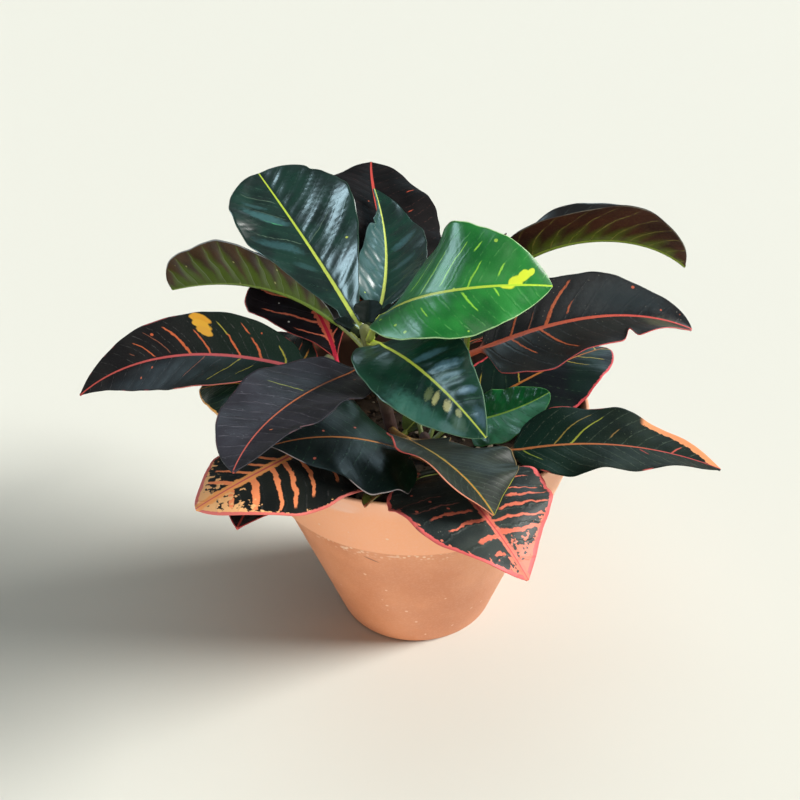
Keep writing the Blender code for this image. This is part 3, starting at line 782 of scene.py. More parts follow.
def leaf_sections(leaf, along, across):
    """The leaf's sections, as offsets to the left and up of both faces, and what its skin reads."""
    blade = np.clip(along, 0, 1)[:, None]
    side = np.where(across >= 0, 1, -1)[None, :]
    out = np.abs(across)[None, :]
    swell, width = blade_widths(leaf, blade, side)
    fold = np.radians(np.where(side > 0, leaf["left_fold"], leaf["right_fold"]))
    cup = math.radians(leaf["cup"]) + 1e-6
    lag = np.where(side > 0, 0, RIGHT_WAVE_LAG)
    turn = 2 * math.pi * WAVES * blade + WAVE_TURN * leaf["number"] + lag
    slope = fold + cup * out
    sideways = side * width * (np.sin(slope) - np.sin(fold)) / cup
    upward = width * (np.cos(fold) - np.cos(slope)) / cup + width * WAVE_HEIGHT * out**2 * np.sin(turn)
    slope = np.where(out == 0, math.radians(leaf["left_fold"] - leaf["right_fold"]) / 2, side * slope)

    reach = out * width
    blade_length = (leaf["length"] - leaf["stalk"]) * MM
    vein = (blade - reach / blade_length * leaf["vein_slope"] * (1 + 0.4 * out)) * leaf["side_veins"]
    vein = vein + np.where(side > 0, 0.0, 0.5)
    ridge = RIDGE_HEIGHT * (1 - 0.7 * blade) * np.exp(-((reach / RIDGE_WIDTH) ** 2))
    lift = MM * swell * blade_relief(leaf, blade, side, out, vein) + ridge
    top_x = sideways - np.sin(slope) * lift
    top_y = upward + np.cos(slope) * lift
    keel = 2 * STALK_RADIUS + (MIDRIB_TIP_THICKNESS - 2 * STALK_RADIUS) * blade**0.6 - BLADE_THICKNESS
    thick = BLADE_THICKNESS * (1 - 0.4 * out**4) + keel * np.exp(-((reach / KEEL_WIDTH) ** 2))
    under_x = top_x + np.sin(slope) * thick
    under_y = top_y - np.cos(slope) * thick

    blend = smooth(blade, 0, leaf["stalk_blend"])
    spread = np.linspace(0.93, 0.07, across.size)[None, :] * math.pi
    swollen = STALK_RADIUS * (1 + STALK_SWELLING * np.exp(-6 * np.clip(along[:, None] + 1, 0, None)))
    round_x = swollen * np.cos(spread)
    round_y = swollen * np.sin(spread)
    top = (round_x + blend * (top_x - round_x), round_y + blend * (top_y - round_y))
    bottom = (round_x + blend * (under_x - round_x), -round_y + blend * (under_y + round_y))
    reach = np.broadcast_to(reach, top_x.shape)
    return top, bottom, {"vein": vein, "reach": reach, "margin": width - reach}


def leaf_corners(leaf, along, across):
    """Rings of corners along the leaf, each over its top and back under it, and what its skin reads."""
    share, points, forward, left, up = leaf_path(leaf)
    stalk_share = leaf["stalk"] / leaf["length"]
    place = np.where(along < 0, stalk_share * (1 + along), stalk_share + (1 - stalk_share) * along)
    middle, to_left, to_up = (
        np.stack([np.interp(place, share, line[:, axis]) for axis in range(3)], axis=-1)
        for line in (points, left, up)
    )
    middle[0] -= forward[0] * STALK_ROOT * MM
    top, bottom, skin = leaf_sections(leaf, along, across)
    sideways, upward = (np.concatenate([over, under[:, ::-1]], axis=1) for over, under in zip(top, bottom))
    return middle[:, None] + to_left[:, None] * sideways[..., None] + to_up[:, None] * upward[..., None], skin


def there_and_back(values):
    """Values over the upper face, and again back under it."""
    return np.concatenate([values, values[:, ::-1]], axis=1).ravel()


def lay_map(mesh, title, across, along):
    """A map of the mesh's face corners."""
    mesh.uv_layers.new(name=title).data.foreach_set("uv", np.stack([across, along], axis=-1).ravel())


def grow_leaf(name, upper, under, slot, **leaf):
    """A leaf's closed mesh, with the maps that its skins read, standing for the CAD leaf of the same name."""
    leaf = {**LEAF_DEFAULTS, **leaf}
    stalk = np.linspace(-1, 0, STALK_RINGS, endpoint=False)
    along = np.concatenate([stalk, np.linspace(0, 1, RINGS_PER_VEIN * leaf["side_veins"] + 1)])
    across = np.concatenate([-np.array(ACROSS_STEPS[:0:-1]), np.array(ACROSS_STEPS)])
    corners, skin = leaf_corners(leaf, along, across)
    rings, ring_size, _ = corners.shape
    quads = ring_quads(rings, ring_size)
    last = (rings - 1) * ring_size
    caps = [tuple(range(ring_size))[::-1], tuple(range(last, last + ring_size))]
    mesh = bpy.data.meshes.new(name)
    mesh.from_pydata(corners.reshape(-1, 3).tolist(), [], caps + quads)
    mesh.shade_smooth()

    corner_of = np.empty(len(mesh.loops), dtype=np.int32)
    mesh.loops.foreach_get("vertex_index", corner_of)
    long_way = np.broadcast_to(along[:, None], (rings, across.size))
    maps = {
        "blade": (np.broadcast_to((across + 1) / 2, long_way.shape), long_way),
        "veins": (skin["vein"], skin["reach"] * 100),
        "margin": (skin["margin"] * 100, long_way * (leaf["length"] - leaf["stalk"]) * MM * 100),
    }
    for title, (horizontal, vertical) in maps.items():
        lay_map(mesh, title, there_and_back(horizontal)[corner_of], there_and_back(vertical)[corner_of])
    quad_corner = np.array(quads)[:, 0] % ring_size
    wraps = np.concatenate([np.zeros(2 * ring_size, dtype=bool), np.repeat(quad_corner == ring_size - 1, 4)])
    around = (corner_of % ring_size) / ring_size
    around = np.where(wraps & (around == 0), 1.0, around)
    lay_map(mesh, "OFBake", around, 0.02 + 0.96 * (corner_of // ring_size) / (rings - 1))

    mesh.materials.append(upper)
    mesh.materials.append(under)
    is_under = np.zeros(len(mesh.polygons), dtype=np.int32)
    is_under[2:] = (quad_corner >= across.size) & (quad_corner < ring_size - 1)
    mesh.polygons.foreach_set("material_index", is_under)
    mesh.validate()
    leaf_piece = bpy.data.objects.new(name.replace("leaf_", "fine_leaf_"), mesh)
    bpy.context.scene.collection.objects.link(leaf_piece)
    if leaf["in_cad"]:
        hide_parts(name)
    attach(leaf_piece, "root")


SKIN_SEEDS = 97
VEIN_PITCH = 0.87
DUST_SCALE = 0.75
SPECK_SCALE = 0.22
SKIN_RELIEF = 0.0003
COAT_ROUGHNESS = 0.18
SKIN_DEFAULTS = dict(
    ground=(20, 34, 30), ground_pale=(38, 52, 46), root_ground=None, near_rib=None, near_rib_reach=0.5,
    near_rib_cells=0.9, half_ground=None, dust=None, fine_vein=(60, 80, 60), fine_cover=0.8, vein=None,
    root_vein=None, vein_width=0.7, vein_cover=0.6, vein_reach=(0.35, 0.9), wander=0.2, fork=1.5, strokes=(),
    flood=None, flood_from=2.0, flood_length=0.45, flood_lean=0.0, sheens=(), patches=(), patch_softness=0.25,
    patch_ragged=2.0, patch_noise=0.28, speck=None, speck_cover=0.1, edge=None, edge_width=0.5,
    edge_cover=1.0, bands=(), rib=(220, 90, 70), rib_tip=None, rib_width=1.0, rib_halo=None,
    halo_width=3.0, dry_tip=None,
    stalk=None, side_veins=13, length=100, roughness=0.36, gloss=0.4, bump=0.5, coat=0.0,
)


def read_face(tree, look, seed):
    """Where a point lies on a leaf's face, in millimetres or as shares, and the noise its skin shares."""
    blade, veins, margin = (
        separate(Shade(shader_node(tree, "UVMap", uv_map=title).outputs["UV"]))
        for title in ("blade", "veins", "margin")
    )
    face = SimpleNamespace(seed=seed, along=blade[1], foot=veins[0] / look.side_veins)
    face.side = blade[0] * 2 - 1
    face.out = abs(face.side)
    face.reach = veins[1] * 10
    face.inward = margin[0] * 10
    face.place = combine(face.reach * calc("SIGN", face.side), margin[1] * 10, seed)
    face.broad_noise = cloud(face.place, 0.06, 2)
    face.middle_noise = cloud(face.place, 0.5)
    face.grain = cloud(face.place, 1.6, 4)
    face.pitch = look.length / look.side_veins * VEIN_PITCH
    face.vein_place = veins[0] + (cloud(face.place, 0.16) * (2 * look.wander) - look.wander)
    face.vein_number = calc("ROUND", face.vein_place)
    face.gap = abs(face.vein_place - face.vein_number) * face.pitch
    leaning = face.side * look.flood_lean + face.along
    face.flooding = rise(leaning, look.flood_from, look.flood_from + look.flood_length)
    return face


def ground_colour(face, look):
    """The blade's colour: its ground, root, part beside the midrib, one half, dust and fine veins; on some
    leaves the half is a painted sheen and the root painted shade.
    """
    colour = tint(rise(face.broad_noise, 0.35, 0.65), look.ground, look.ground_pale)
    if look.root_ground:
        colour = tint(fall(face.along, 0.05, 0.6), colour, look.root_ground)
    if look.near_rib:
        far = face.broad_noise * 0.5 + face.gap * (look.near_rib_cells / face.pitch) + face.out
        colour = tint(fall(far, look.near_rib_reach - 0.05, look.near_rib_reach + 0.6), colour, look.near_rib)
    # On some leaves this paler half is a painted sheen; on others it is the blade's own colour.
    if look.half_ground:
        half_side, half_colour = look.half_ground
        colour = tint((face.side * half_side > 0) * rise(face.broad_noise, 0.2, 0.55), colour, half_colour)
    colour = tint(rise(face.grain, 0.45, 0.75) * 0.12, colour, look.fine_vein)
    if look.dust:
        distance, draws = speckle(face.place, DUST_SCALE)
        colour = tint(fall(distance, 0.10, 0.26) * rise(draws[1], 0.72, 1.0), colour, look.dust)
    fine = fall(face.gap, 0.08, 0.38) * rise(face.middle_noise, 0.62 - 0.4 * look.fine_cover, 0.66)
    return tint(fine * fall(face.out, 0.86, 1.0) * 0.8, colour, look.fine_vein)


def add_veins(colour, face, look):
    """Side veins that have coloured, each as long and wide as it is drawn by chance."""
    key = combine(face.vein_number, face.side > 0, face.seed)
    drawn = shader_node(key.tree, "TexWhiteNoise", {"Vector": key}, noise_dimensions="3D").outputs["Color"]
    draws = separate(Shade(drawn), "Color")
    shortest, longest = look.vein_reach
    ending = draws[0] * (longest - shortest) + shortest + face.flooding
    coloured = calc("MAXIMUM", draws[1] < look.vein_cover, face.flooding)
    coloured = coloured * fall(face.out - ending, -0.10, 0.03)
    half = (face.middle_noise * 1.6 + 0.2) * (look.vein_width / 2) * (draws[2] * 0.7 + 0.65)
    half = half + face.flooding * (0.22 * face.pitch)
    split = calc("MAXIMUM", face.out - look.fork, 0.0) * face.pitch
    line = fall(abs(face.gap - split) - half, -0.15, 0.22)
    vein_colour = look.vein
    if look.root_vein:
        vein_colour = tint(fall(face.along, 0.15, 0.4), vein_colour, look.root_vein)
    return tint(line * coloured, colour, vein_colour)


def add_strokes(colour, face, look):
    """Single side veins: each with its side, vein number, start and end across, width and colour."""
    for side, vein, start, end, width, stroke_colour in look.strokes:
        half = (face.middle_noise * 1.2 + 0.4) * (width / 2) * fall(face.out, start, 2 * end - start)
        line = fall(abs(face.vein_place - vein) * face.pitch - half, -0.15, 0.2)
        within = rise(face.out, start - 0.03, start + 0.03) * fall(face.out, end - 0.06, end)
        colour = tint(line * within * (face.side * side > 0), colour, stroke_colour)
    return colour


def add_patches(colour, face, look):
    """Painted sheens, soft-edged highlights painted on the blade, then blotches: ovals along the side veins,
    by centre and half size across and along.
    """
    soft = [(patch, 1.0, 1.0, 0.5) for patch in look.sheens]
    crisp = [(patch, look.patch_softness, look.patch_ragged, look.patch_noise) for patch in look.patches]
    for patch, softness, ragged, noise_scale in soft + crisp:
        across_centre, foot_centre, across_half, foot_half, patch_colour = patch
        off = ((face.side - across_centre) / across_half) ** 2 + ((face.foot - foot_centre) / foot_half) ** 2
        off = off + (cloud(face.place, noise_scale, 1.5) - 0.5) * ragged
        colour = tint(fall(off, 1.0 - softness, 1.0), colour, patch_colour)
    return colour


def add_margin(colour, face, look):
    """The margin's ragged line, and bands along it by side, start and end along, width and colour."""
    if look.edge:
        width = cloud(face.place, 0.4) * (2 * look.edge_width) + face.flooding * look.edge_width
        low = 0.78 - 0.62 * look.edge_cover
        line = fall(face.inward - width, -0.1, 0.25) * rise(cloud(face.place, 0.07, 2), low, low + 0.1)
        colour = tint(line * rise(face.along, 0.02, 0.08), colour, look.edge)
    for side, start, end, width, band_colour in look.bands:
        band = fall(face.inward - (face.middle_noise * 0.8 + 0.6) * width, -0.2, 0.2) * (face.side * side > 0)
        band = band * rise(face.along, start, start + 0.03) * fall(face.along, end, end + 0.03)
        colour = tint(band, colour, band_colour)
    return colour


def leaf_skin(name, **look):
    """One face of a leaf, painted coat by coat.

    Widths are in millimetres. A cover is the share that is coloured, from 0 for none to 1 for all. Across
    runs from -1 at the right margin to 1 at the left one, and along from 0 at the blade's foot to 1 at its
    tip. The half ground is the side, 1 or -1, that has a colour of its own; on some leaves that colour is a
    painted sheen. Sheens are highlights painted on the blade as soft pale ovals. The flood is where coloured
    veins run together: from this far along, over this length, leaning to the left half by its lean.
    """
    look = SimpleNamespace(**{**SKIN_DEFAULTS, **look})
    skin, shader = new_material(name, look.roughness, Specular_IOR_Level=look.gloss)
    face = read_face(skin.node_tree, look, float(sum(name.encode()) % SKIN_SEEDS))
    colour = ground_colour(face, look)
    if look.vein:
        colour = add_veins(colour, face, look)
    colour = add_strokes(colour, face, look)
    if look.flood:
        islands = cloud(face.place, 0.42, 4) + face.flooding * 0.42 + fall(face.inward, 1.0, 5.0) * 0.16
        colour = tint(rise(islands, 0.74, 0.79) * rise(face.along, 0.2, 0.5), colour, look.flood)
    colour = add_patches(colour, face, look)
    if look.speck:
        distance, draws = speckle(face.place, SPECK_SCALE)
        dot = fall(distance - cloud(face.place, 0.09) * 0.22, 0.0, 0.06)
        colour = tint(dot * (draws[0] < look.speck_cover), colour, look.speck)
    colour = add_margin(colour, face, look)

    if look.rib_halo:
        halo_half = (face.middle_noise * 1.2 + 0.3) * (look.halo_width / 2) * rise(face.along, -0.1, 0.5)
        colour = tint(fall(face.reach - halo_half, -0.2, 0.3), colour, look.rib_halo)
    rib_half = (0.5 - face.along * 0.35) * look.rib_width * (face.middle_noise * 0.4 + 0.8)
    rib = fall(face.reach - rib_half, -0.12, 0.2)
    rib_colour = tint(rise(face.along, 0.3, 0.9), look.rib, look.rib_tip or look.rib)
    colour = tint(rib, colour, rib_colour)
    if look.dry_tip:
        colour = tint(rise(face.middle_noise * 0.05 + face.along, 0.93, 0.95), colour, look.dry_tip)
    colour = tint(fall(face.along, 0.0, 0.05), colour, look.stalk or look.rib)

    uneven = cloud(face.place, 0.25, 4) * 0.16 + (look.roughness - 0.08) + rib * 0.12
    groove = fall(face.gap, 0.0, 0.9) * fall(face.out, 0.8, 1.0) * 0.9
    height = face.grain * 0.35 + face.middle_noise * 0.5 - groove
    wire(shader, Base_Color=colour, Roughness=uneven, Normal=bump(height, look.bump, SKIN_RELIEF))
    if look.coat:
        shader.inputs["Coat Weight"].default_value = look.coat
        shader.inputs["Coat Roughness"].default_value = COAT_ROUGHNESS
    return skin


def veins(side, colour, *rows):
    """Strokes on one side of the midrib in one colour: each has a vein number, start, end and width."""
    return tuple((side, *row, colour) for row in rows)


LEAF_GREEN = (16, 54, 44)
LEAF_GREEN_DEEP = (10, 34, 30)
RIB_YELLOW = (196, 222, 66)
PALE_UNDERSIDE = (78, 102, 46)
DASH_GREEN = (150, 222, 72)
THREAD_PALE = (92, 116, 98)

pale_under = leaf_skin(
    "pale_green_underside", ground=PALE_UNDERSIDE, ground_pale=(96, 118, 58), rib=(170, 186, 96),
    fine_vein=(150, 168, 96), roughness=0.5, bump=0.9,
)
deep_green = leaf_skin(
    "deep_green_leaf", ground=LEAF_GREEN_DEEP, ground_pale=LEAF_GREEN, rib=(206, 226, 92), rib_tip=RIB_YELLOW,
    rib_width=2.1, fine_vein=(52, 84, 70), fine_cover=0.45, edge=(40, 70, 56), edge_width=0.2,
    speck=(214, 230, 90), speck_cover=0.035, length=126, side_veins=17, roughness=0.3, gloss=0.6, bump=0.15,
    coat=0.3,
    strokes=(
        *veins(-1, THREAD_PALE, (9.5, 0.02, 0.62, 0.35)),
        *veins(1, THREAD_PALE, (9.0, 0.10, 0.75, 0.35), (13.4, 0.10, 0.80, 0.35), (11.6, 0.10, 0.60, 0.30)),
        *veins(1, (84, 196, 120), (10.8, 0.22, 0.50, 0.9)),
    ),
    # Painted sheens: pale bluish ovals that paint highlights between the side veins of the left half.
    sheens=(
        (0.42, 0.655, 0.44, 0.034, (58, 100, 102)), (0.52, 0.725, 0.26, 0.018, (46, 82, 82)),
        (0.50, 0.470, 0.40, 0.040, (50, 88, 90)), (0.38, 0.360, 0.26, 0.028, (42, 78, 76)),
    ),
)
centre_green = leaf_skin(
    "centre_green_leaf", ground=(8, 42, 34), ground_pale=(12, 62, 48), rib=(214, 230, 110), rib_width=1.9,
    fine_vein=(50, 100, 70), fine_cover=0.4, speck=(200, 224, 90), speck_cover=0.03, length=113,
    # Its paler left half is a painted sheen.
    side_veins=14, roughness=0.3, gloss=0.55, bump=0.2, coat=0.25, half_ground=(1, (58, 96, 96)),
    # Painted sheens: highlights painted on the right half.
    sheens=(
        (-0.50, 0.51, 0.44, 0.040, (66, 108, 112)), (-0.42, 0.34, 0.36, 0.030, (52, 92, 92)),
    ),
)
bright_green = leaf_skin(
    "bright_green_leaf", ground=(18, 104, 40), ground_pale=(40, 138, 56), rib=(206, 224, 84),
    rib_tip=(190, 232, 50), rib_width=1.7, fine_vein=(80, 160, 80), fine_cover=0.5, edge=(170, 214, 150),
    edge_width=0.3, speck=(176, 226, 80), speck_cover=0.16, length=82, roughness=0.34, coat=0.15, bump=0.2,
    patch_ragged=0.9, patch_softness=0.4,
    strokes=(
        *veins(
            1, DASH_GREEN, (2.6, 0.20, 0.62, 0.6), (4.0, 0.05, 0.60, 0.6), (5.4, 0.10, 0.70, 0.6),
            (6.4, 0.55, 0.75, 0.6), (7.4, 0.00, 0.42, 0.7), (9.0, 0.18, 0.45, 0.7),
        ),
        *veins(-1, DASH_GREEN, (4.5, 0.30, 0.55, 0.6), (7.5, 0.08, 0.55, 0.7), (9.5, 0.05, 0.30, 0.6)),
    ),
    patches=(
        (0.06, 0.800, 0.20, 0.042, (222, 240, 60)), (0.24, 0.822, 0.20, 0.034, (222, 240, 60)),
        (0.42, 0.845, 0.18, 0.020, (216, 238, 66)),
    ),
)
mid_green = leaf_skin(
    "mid_green_leaf", ground=(8, 46, 36), ground_pale=(14, 70, 48), rib=(214, 234, 84), rib_width=1.7,
    fine_vein=(60, 104, 80), fine_cover=0.5, edge=(80, 120, 90), edge_width=0.15, speck=(214, 226, 120),
    speck_cover=0.03, length=80, roughness=0.38, bump=0.2, coat=0.08,
    strokes=veins(1, THREAD_PALE, (3.2, 0.0, 0.75, 0.35)), patch_softness=0.85, patch_ragged=1.1,
    patch_noise=1.3,
    # Painted sheens: highlights painted on both halves and along the right margin.
    sheens=(
        (0.35, 0.375, 0.38, 0.040, (70, 112, 122)), (0.42, 0.505, 0.44, 0.046, (84, 124, 138)),
        (0.40, 0.590, 0.36, 0.022, (66, 106, 112)), (0.52, 0.715, 0.38, 0.034, (88, 124, 144)),
        (0.55, 0.885, 0.50, 0.085, (72, 108, 122)), (-0.80, 0.62, 0.40, 0.30, (52, 104, 90)),
        (-0.80, 0.84, 0.30, 0.110, (84, 124, 118)), (-0.45, 0.87, 0.36, 0.070, (78, 112, 92)),
    ),
    patches=(
        (-0.27, 0.632, 0.19, 0.034, (104, 122, 78)), (-0.24, 0.682, 0.20, 0.022, (196, 200, 138)),
        (-0.20, 0.765, 0.17, 0.034, (206, 208, 152)), (-0.15, 0.845, 0.13, 0.028, (176, 186, 134)),
    ),
)
fresh_green = leaf_skin(
    "fresh_green_leaf", ground=(8, 84, 38), ground_pale=(18, 108, 54), rib=(160, 214, 80),
    stalk=(92, 106, 58), rib_width=1.2, fine_vein=(50, 120, 80), fine_cover=0.6, edge=(90, 160, 90),
    # Its paler right half is a painted sheen.
    edge_width=0.25, half_ground=(-1, (82, 160, 124)), length=44, side_veins=9, roughness=0.3, bump=0.25,
    coat=0.12,
)
# The bud leaf's near-black root and stalk are painted shade, the dark under the leaves above it.
front_bud = leaf_skin(
    "front_bud_leaf", ground=(146, 164, 76), ground_pale=(190, 188, 116), root_ground=(10, 18, 10),
    rib=(170, 90, 66), rib_width=0.9, fine_vein=(80, 96, 44), stalk=(20, 26, 16), edge=(150, 90, 66),
    edge_width=0.3, length=48, side_veins=9, roughness=0.5, gloss=0.15, bump=0.2,
)
inner_olive = leaf_skin(
    "inner_olive_leaf", ground=(54, 68, 18), ground_pale=(80, 90, 30), rib=(126, 138, 58),
    fine_vein=(88, 100, 46), fine_cover=0.4, length=24, side_veins=7, roughness=0.45, gloss=0.2, bump=0.15,
)

grow_leaf(
    "leaf_crown_left", deep_green, pale_under, "green_leaf", number=0, stem="main", height=168, heading=113,
    turn=12, rise=14, droop=-11, late=1.2, length=131, stalk=5, half_width=32, widest=0.7, fullness=0.6,
    skew=-0.05, roll=-12, twist=6, left_fold=11, right_fold=18, cup=5, side_veins=17, quilt=1.2, shoulder=0.2,
    notches=((-1, 0.88, 0.07, 0.02),),
)
grow_leaf(
    "leaf_crown_middle", centre_green, pale_under, "green_leaf", number=1, stem="main", height=167,
    heading=79, turn=24, rise=8, droop=-10, late=1.2, length=131, stalk=18, half_width=20, widest=0.3,
    fullness=0.75, skew=-0.2, roll=-12, twist=39, left_fold=23, right_fold=20, cup=25, side_veins=14,
    quilt=0.9, notches=((1, 0.82, 0.55, 0.14), (1, 0.63, 0.25, 0.02)),
)
grow_leaf(
    "leaf_crown_right", bright_green, pale_under, "green_leaf", number=2, stem="main", height=172,
    heading=-66, turn=90, rise=62, droop=77, late=0.9, length=98, stalk=16, half_width=27.5, widest=0.4,
    fullness=0.75, skew=0.2, roll=2, twist=60, left_fold=6, right_fold=9, cup=-15, quilt=0.35,
)
grow_leaf(
    "leaf_crown_front", mid_green, pale_under, "green_leaf", number=3, stem="main", height=169, heading=-64,
    turn=11, rise=20, droop=44, late=1.1, length=88, stalk=8, half_width=22, widest=0.4, fullness=0.7,
    skew=-0.05, roll=1, twist=59, left_fold=3, right_fold=22, cup=10, quilt=0.95,
)
grow_leaf(
    "leaf_spoon", fresh_green, pale_under, "green_leaf", number=11, stem="right", height=113, heading=-21,
    turn=27, rise=21, droop=-12, late=1.6, length=49, stalk=5, half_width=14.5, widest=0.3, fullness=0.5,
    skew=-0.05, roll=32, twist=-5, left_fold=17, right_fold=8, cup=-20, side_veins=9, quilt=0.7,
)
grow_leaf(
    "leaf_bud", front_bud, pale_under, "green_leaf", number=20, stem="front", height=114, heading=-145,
    turn=43, rise=14, droop=-6, late=1.1, length=60, stalk=12, half_width=6, widest=0.5, fullness=0.75,
    skew=-0.05, roll=5, twist=10, left_fold=31, right_fold=16, cup=-15, side_veins=9, quilt=0.1,
)
grow_leaf(
    "leaf_inner_front", inner_olive, inner_olive, "olive_leaf", number=29, stem="main", height=111,
    heading=55, rise=14, droop=10, late=1.3, length=24, stalk=4, half_width=7, widest=0.5, fullness=0.8,
    side_veins=7, quilt=0.1,
)

# Crown bud: the youngest leaflets, still small, pointed and upright around the growing tip of the main stem.
# They are soft, and each grows from the stem on a stalk of a few millimetres. Their almost black-green
# colour is painted shade, the dark among the crown's leaf stalks.

CROWN_BUD = {
    "back": dict(heading=88, rise=34, length=17, half_width=7.0),
    "left": dict(heading=150, rise=22, length=13, half_width=4.0),
    "right": dict(heading=32, rise=38, length=18, half_width=6.0),
}

bud_painted_shade = leaf_skin(
    "crown_bud_green", ground=(9, 20, 16), ground_pale=(13, 30, 23), rib=(16, 28, 20), rib_width=0.6,
    fine_vein=(16, 26, 20), stalk=(40, 50, 26), length=14, side_veins=6, roughness=0.6, gloss=0.1, bump=0.1,
)

for number, (place, leaflet) in enumerate(CROWN_BUD.items(), 30):
    grow_leaf(
        f"leaf_crown_bud_{place}", bud_painted_shade, bud_painted_shade, "green_leaf", number=number, stem="main", height=171,
        droop=14, late=1.2, stalk=3, widest=0.5, fullness=0.8, left_fold=20, right_fold=20, cup=10,
        side_veins=6, quilt=0.1, shoulder=0.6, in_cad=False, **leaflet,
    )

# Folded leaves: one at each side, half shut along the midrib, so that the underside of one half faces the
# front. The underside is matt, with raised side veins, olive near the midrib and maroon towards the margin.

OLIVE = (76, 98, 22)

olive_under = leaf_skin(
    "olive_underside", ground=(48, 27, 12), ground_pale=(70, 44, 20), near_rib=OLIVE, near_rib_reach=0.85,
    near_rib_cells=1.4, rib=(120, 146, 50), rib_width=2.4, fine_vein=(98, 118, 56), fine_cover=1.0,
    speck=(160, 160, 96), speck_cover=0.25, edge=(150, 156, 160), edge_width=0.35, edge_cover=0.7, length=140,
    side_veins=12, roughness=0.42, gloss=0.25, bump=0.6,
)
maroon_under = leaf_skin(
    "maroon_underside", ground=(44, 20, 14), ground_pale=(62, 30, 18), near_rib=(72, 84, 20),
    near_rib_reach=0.45, rib=(126, 146, 50), rib_width=2.2, fine_vein=(120, 110, 52), fine_cover=0.9,
    speck=(190, 96, 66), speck_cover=0.06, edge=(110, 104, 90), edge_width=0.3, edge_cover=0.6, length=107,
    roughness=0.42, gloss=0.25, bump=0.6,
)
dark_face = leaf_skin(
    "dark_leaf_face", ground=(22, 22, 22), ground_pale=(40, 36, 36), rib=(150, 100, 60), stalk=(150, 158, 84),
    fine_vein=(60, 66, 60), length=120, roughness=0.34,
)

grow_leaf(
    "leaf_folded_left", dark_face, olive_under, "olive_leaf", number=4, stem="main", height=161, heading=125,
    turn=27, rise=18, droop=39, late=0.7, length=158, stalk=18, half_width=26.5, widest=0.65, fullness=0.6,
    roll=7, twist=-36, left_fold=88, right_fold=5, side_veins=12, vein_slope=0.05, quilt=1.1,
)
grow_leaf(
    "leaf_folded_right", dark_face, maroon_under, "maroon_leaf", number=5, stem="right", height=147,
    heading=-39, turn=49, rise=95, droop=136, late=1.1, length=139, stalk=32, half_width=22.6, widest=0.6,
    fullness=0.95, roll=24, twist=-5, left_fold=9, right_fold=80, cup=-10,
)

# Dark leaves: older leaves low on the stems, whose green has turned almost black under a dull bloom.
# Only the midrib, and on some the margin, keeps its colour, orange or coral.

NIGHT = (30, 28, 34)
NIGHT_PALE = (46, 44, 52)

dark_under = leaf_skin(
    "dark_underside", ground=(50, 28, 26), ground_pale=(70, 42, 34), near_rib=(80, 78, 34),
    near_rib_reach=0.35, rib=(170, 110, 66), rib_width=1.9, fine_vein=(116, 92, 56), roughness=0.46, bump=0.9,
)
blackish = leaf_skin(
    "blackish_leaf", ground=NIGHT, ground_pale=NIGHT_PALE, rib=(188, 108, 62), rib_tip=(206, 96, 84),
    fine_vein=(92, 90, 98), speck=(214, 120, 80), speck_cover=0.03, dust=(96, 98, 104), edge=(96, 70, 76),
    edge_width=0.25, edge_cover=0.4, strokes=veins(-1, (140, 146, 66), (5.5, 0.10, 0.70, 0.5)), length=127,
    side_veins=15, roughness=0.46, gloss=0.2, bump=0.3,
)
black_green = leaf_skin(
    "black_green_leaf", ground=(16, 28, 30), ground_pale=(28, 42, 42), root_ground=(10, 44, 26),
    rib=(204, 134, 70), rib_tip=(196, 120, 66), rib_width=1.5, fine_vein=(56, 92, 68), fine_cover=0.35,
    speck=(214, 110, 90), speck_cover=0.05, dust=(70, 84, 84), edge=(170, 160, 160), edge_width=0.2,
    edge_cover=0.55, length=67, side_veins=11, roughness=0.4, gloss=0.25, bump=0.12,
)
small_dark = leaf_skin(
    "small_dark_leaf", ground=(24, 34, 30), ground_pale=(40, 48, 38), rib=(168, 130, 70),
    rib_tip=(236, 104, 58), rib_halo=(128, 136, 50), halo_width=1.7, fine_vein=(66, 78, 66), fine_cover=1.0,
    speck=(230, 130, 80), speck_cover=0.03, dust=(90, 98, 84), edge=(150, 130, 90), edge_width=0.25,
    length=67, side_veins=18, roughness=0.44, gloss=0.25, bump=0.12,
    bands=(
        (-1, 0.02, 0.62, 0.7, (214, 96, 90)), (-1, 0.62, 1.1, 0.45, (222, 140, 110)),
        (1, 0.80, 1.1, 0.6, (176, 180, 60)),
    ),
)
brown_black = leaf_skin(
    "brown_black_leaf", ground=(17, 18, 19), ground_pale=(28, 26, 27), rib=(210, 84, 76), rib_width=3.0,
    fine_vein=(76, 54, 50), fine_cover=0.45,
    strokes=veins(-1, (200, 90, 66), (7.5, 0.62, 0.85, 0.8), (5.5, 0.50, 0.60, 0.6)), speck=(232, 120, 84),
    speck_cover=0.05, length=121, side_veins=14, roughness=0.55, gloss=0.03, bump=0.2,
)
yellow_edged = leaf_skin(
    "yellow_edged_leaf", ground=(10, 34, 24), ground_pale=(16, 48, 30), rib=(196, 150, 60), rib_width=1.2,
    fine_vein=(60, 90, 60), edge=(232, 170, 84), edge_width=1.2, length=63, side_veins=11,
)
red_tipped = leaf_skin(
    "red_tipped_leaf", ground=NIGHT, ground_pale=(40, 26, 30), rib=(206, 80, 70), rib_width=2.2,
    fine_vein=(80, 60, 66), edge=(190, 70, 70), edge_width=0.4, edge_cover=0.7, length=98, roughness=0.4,
)

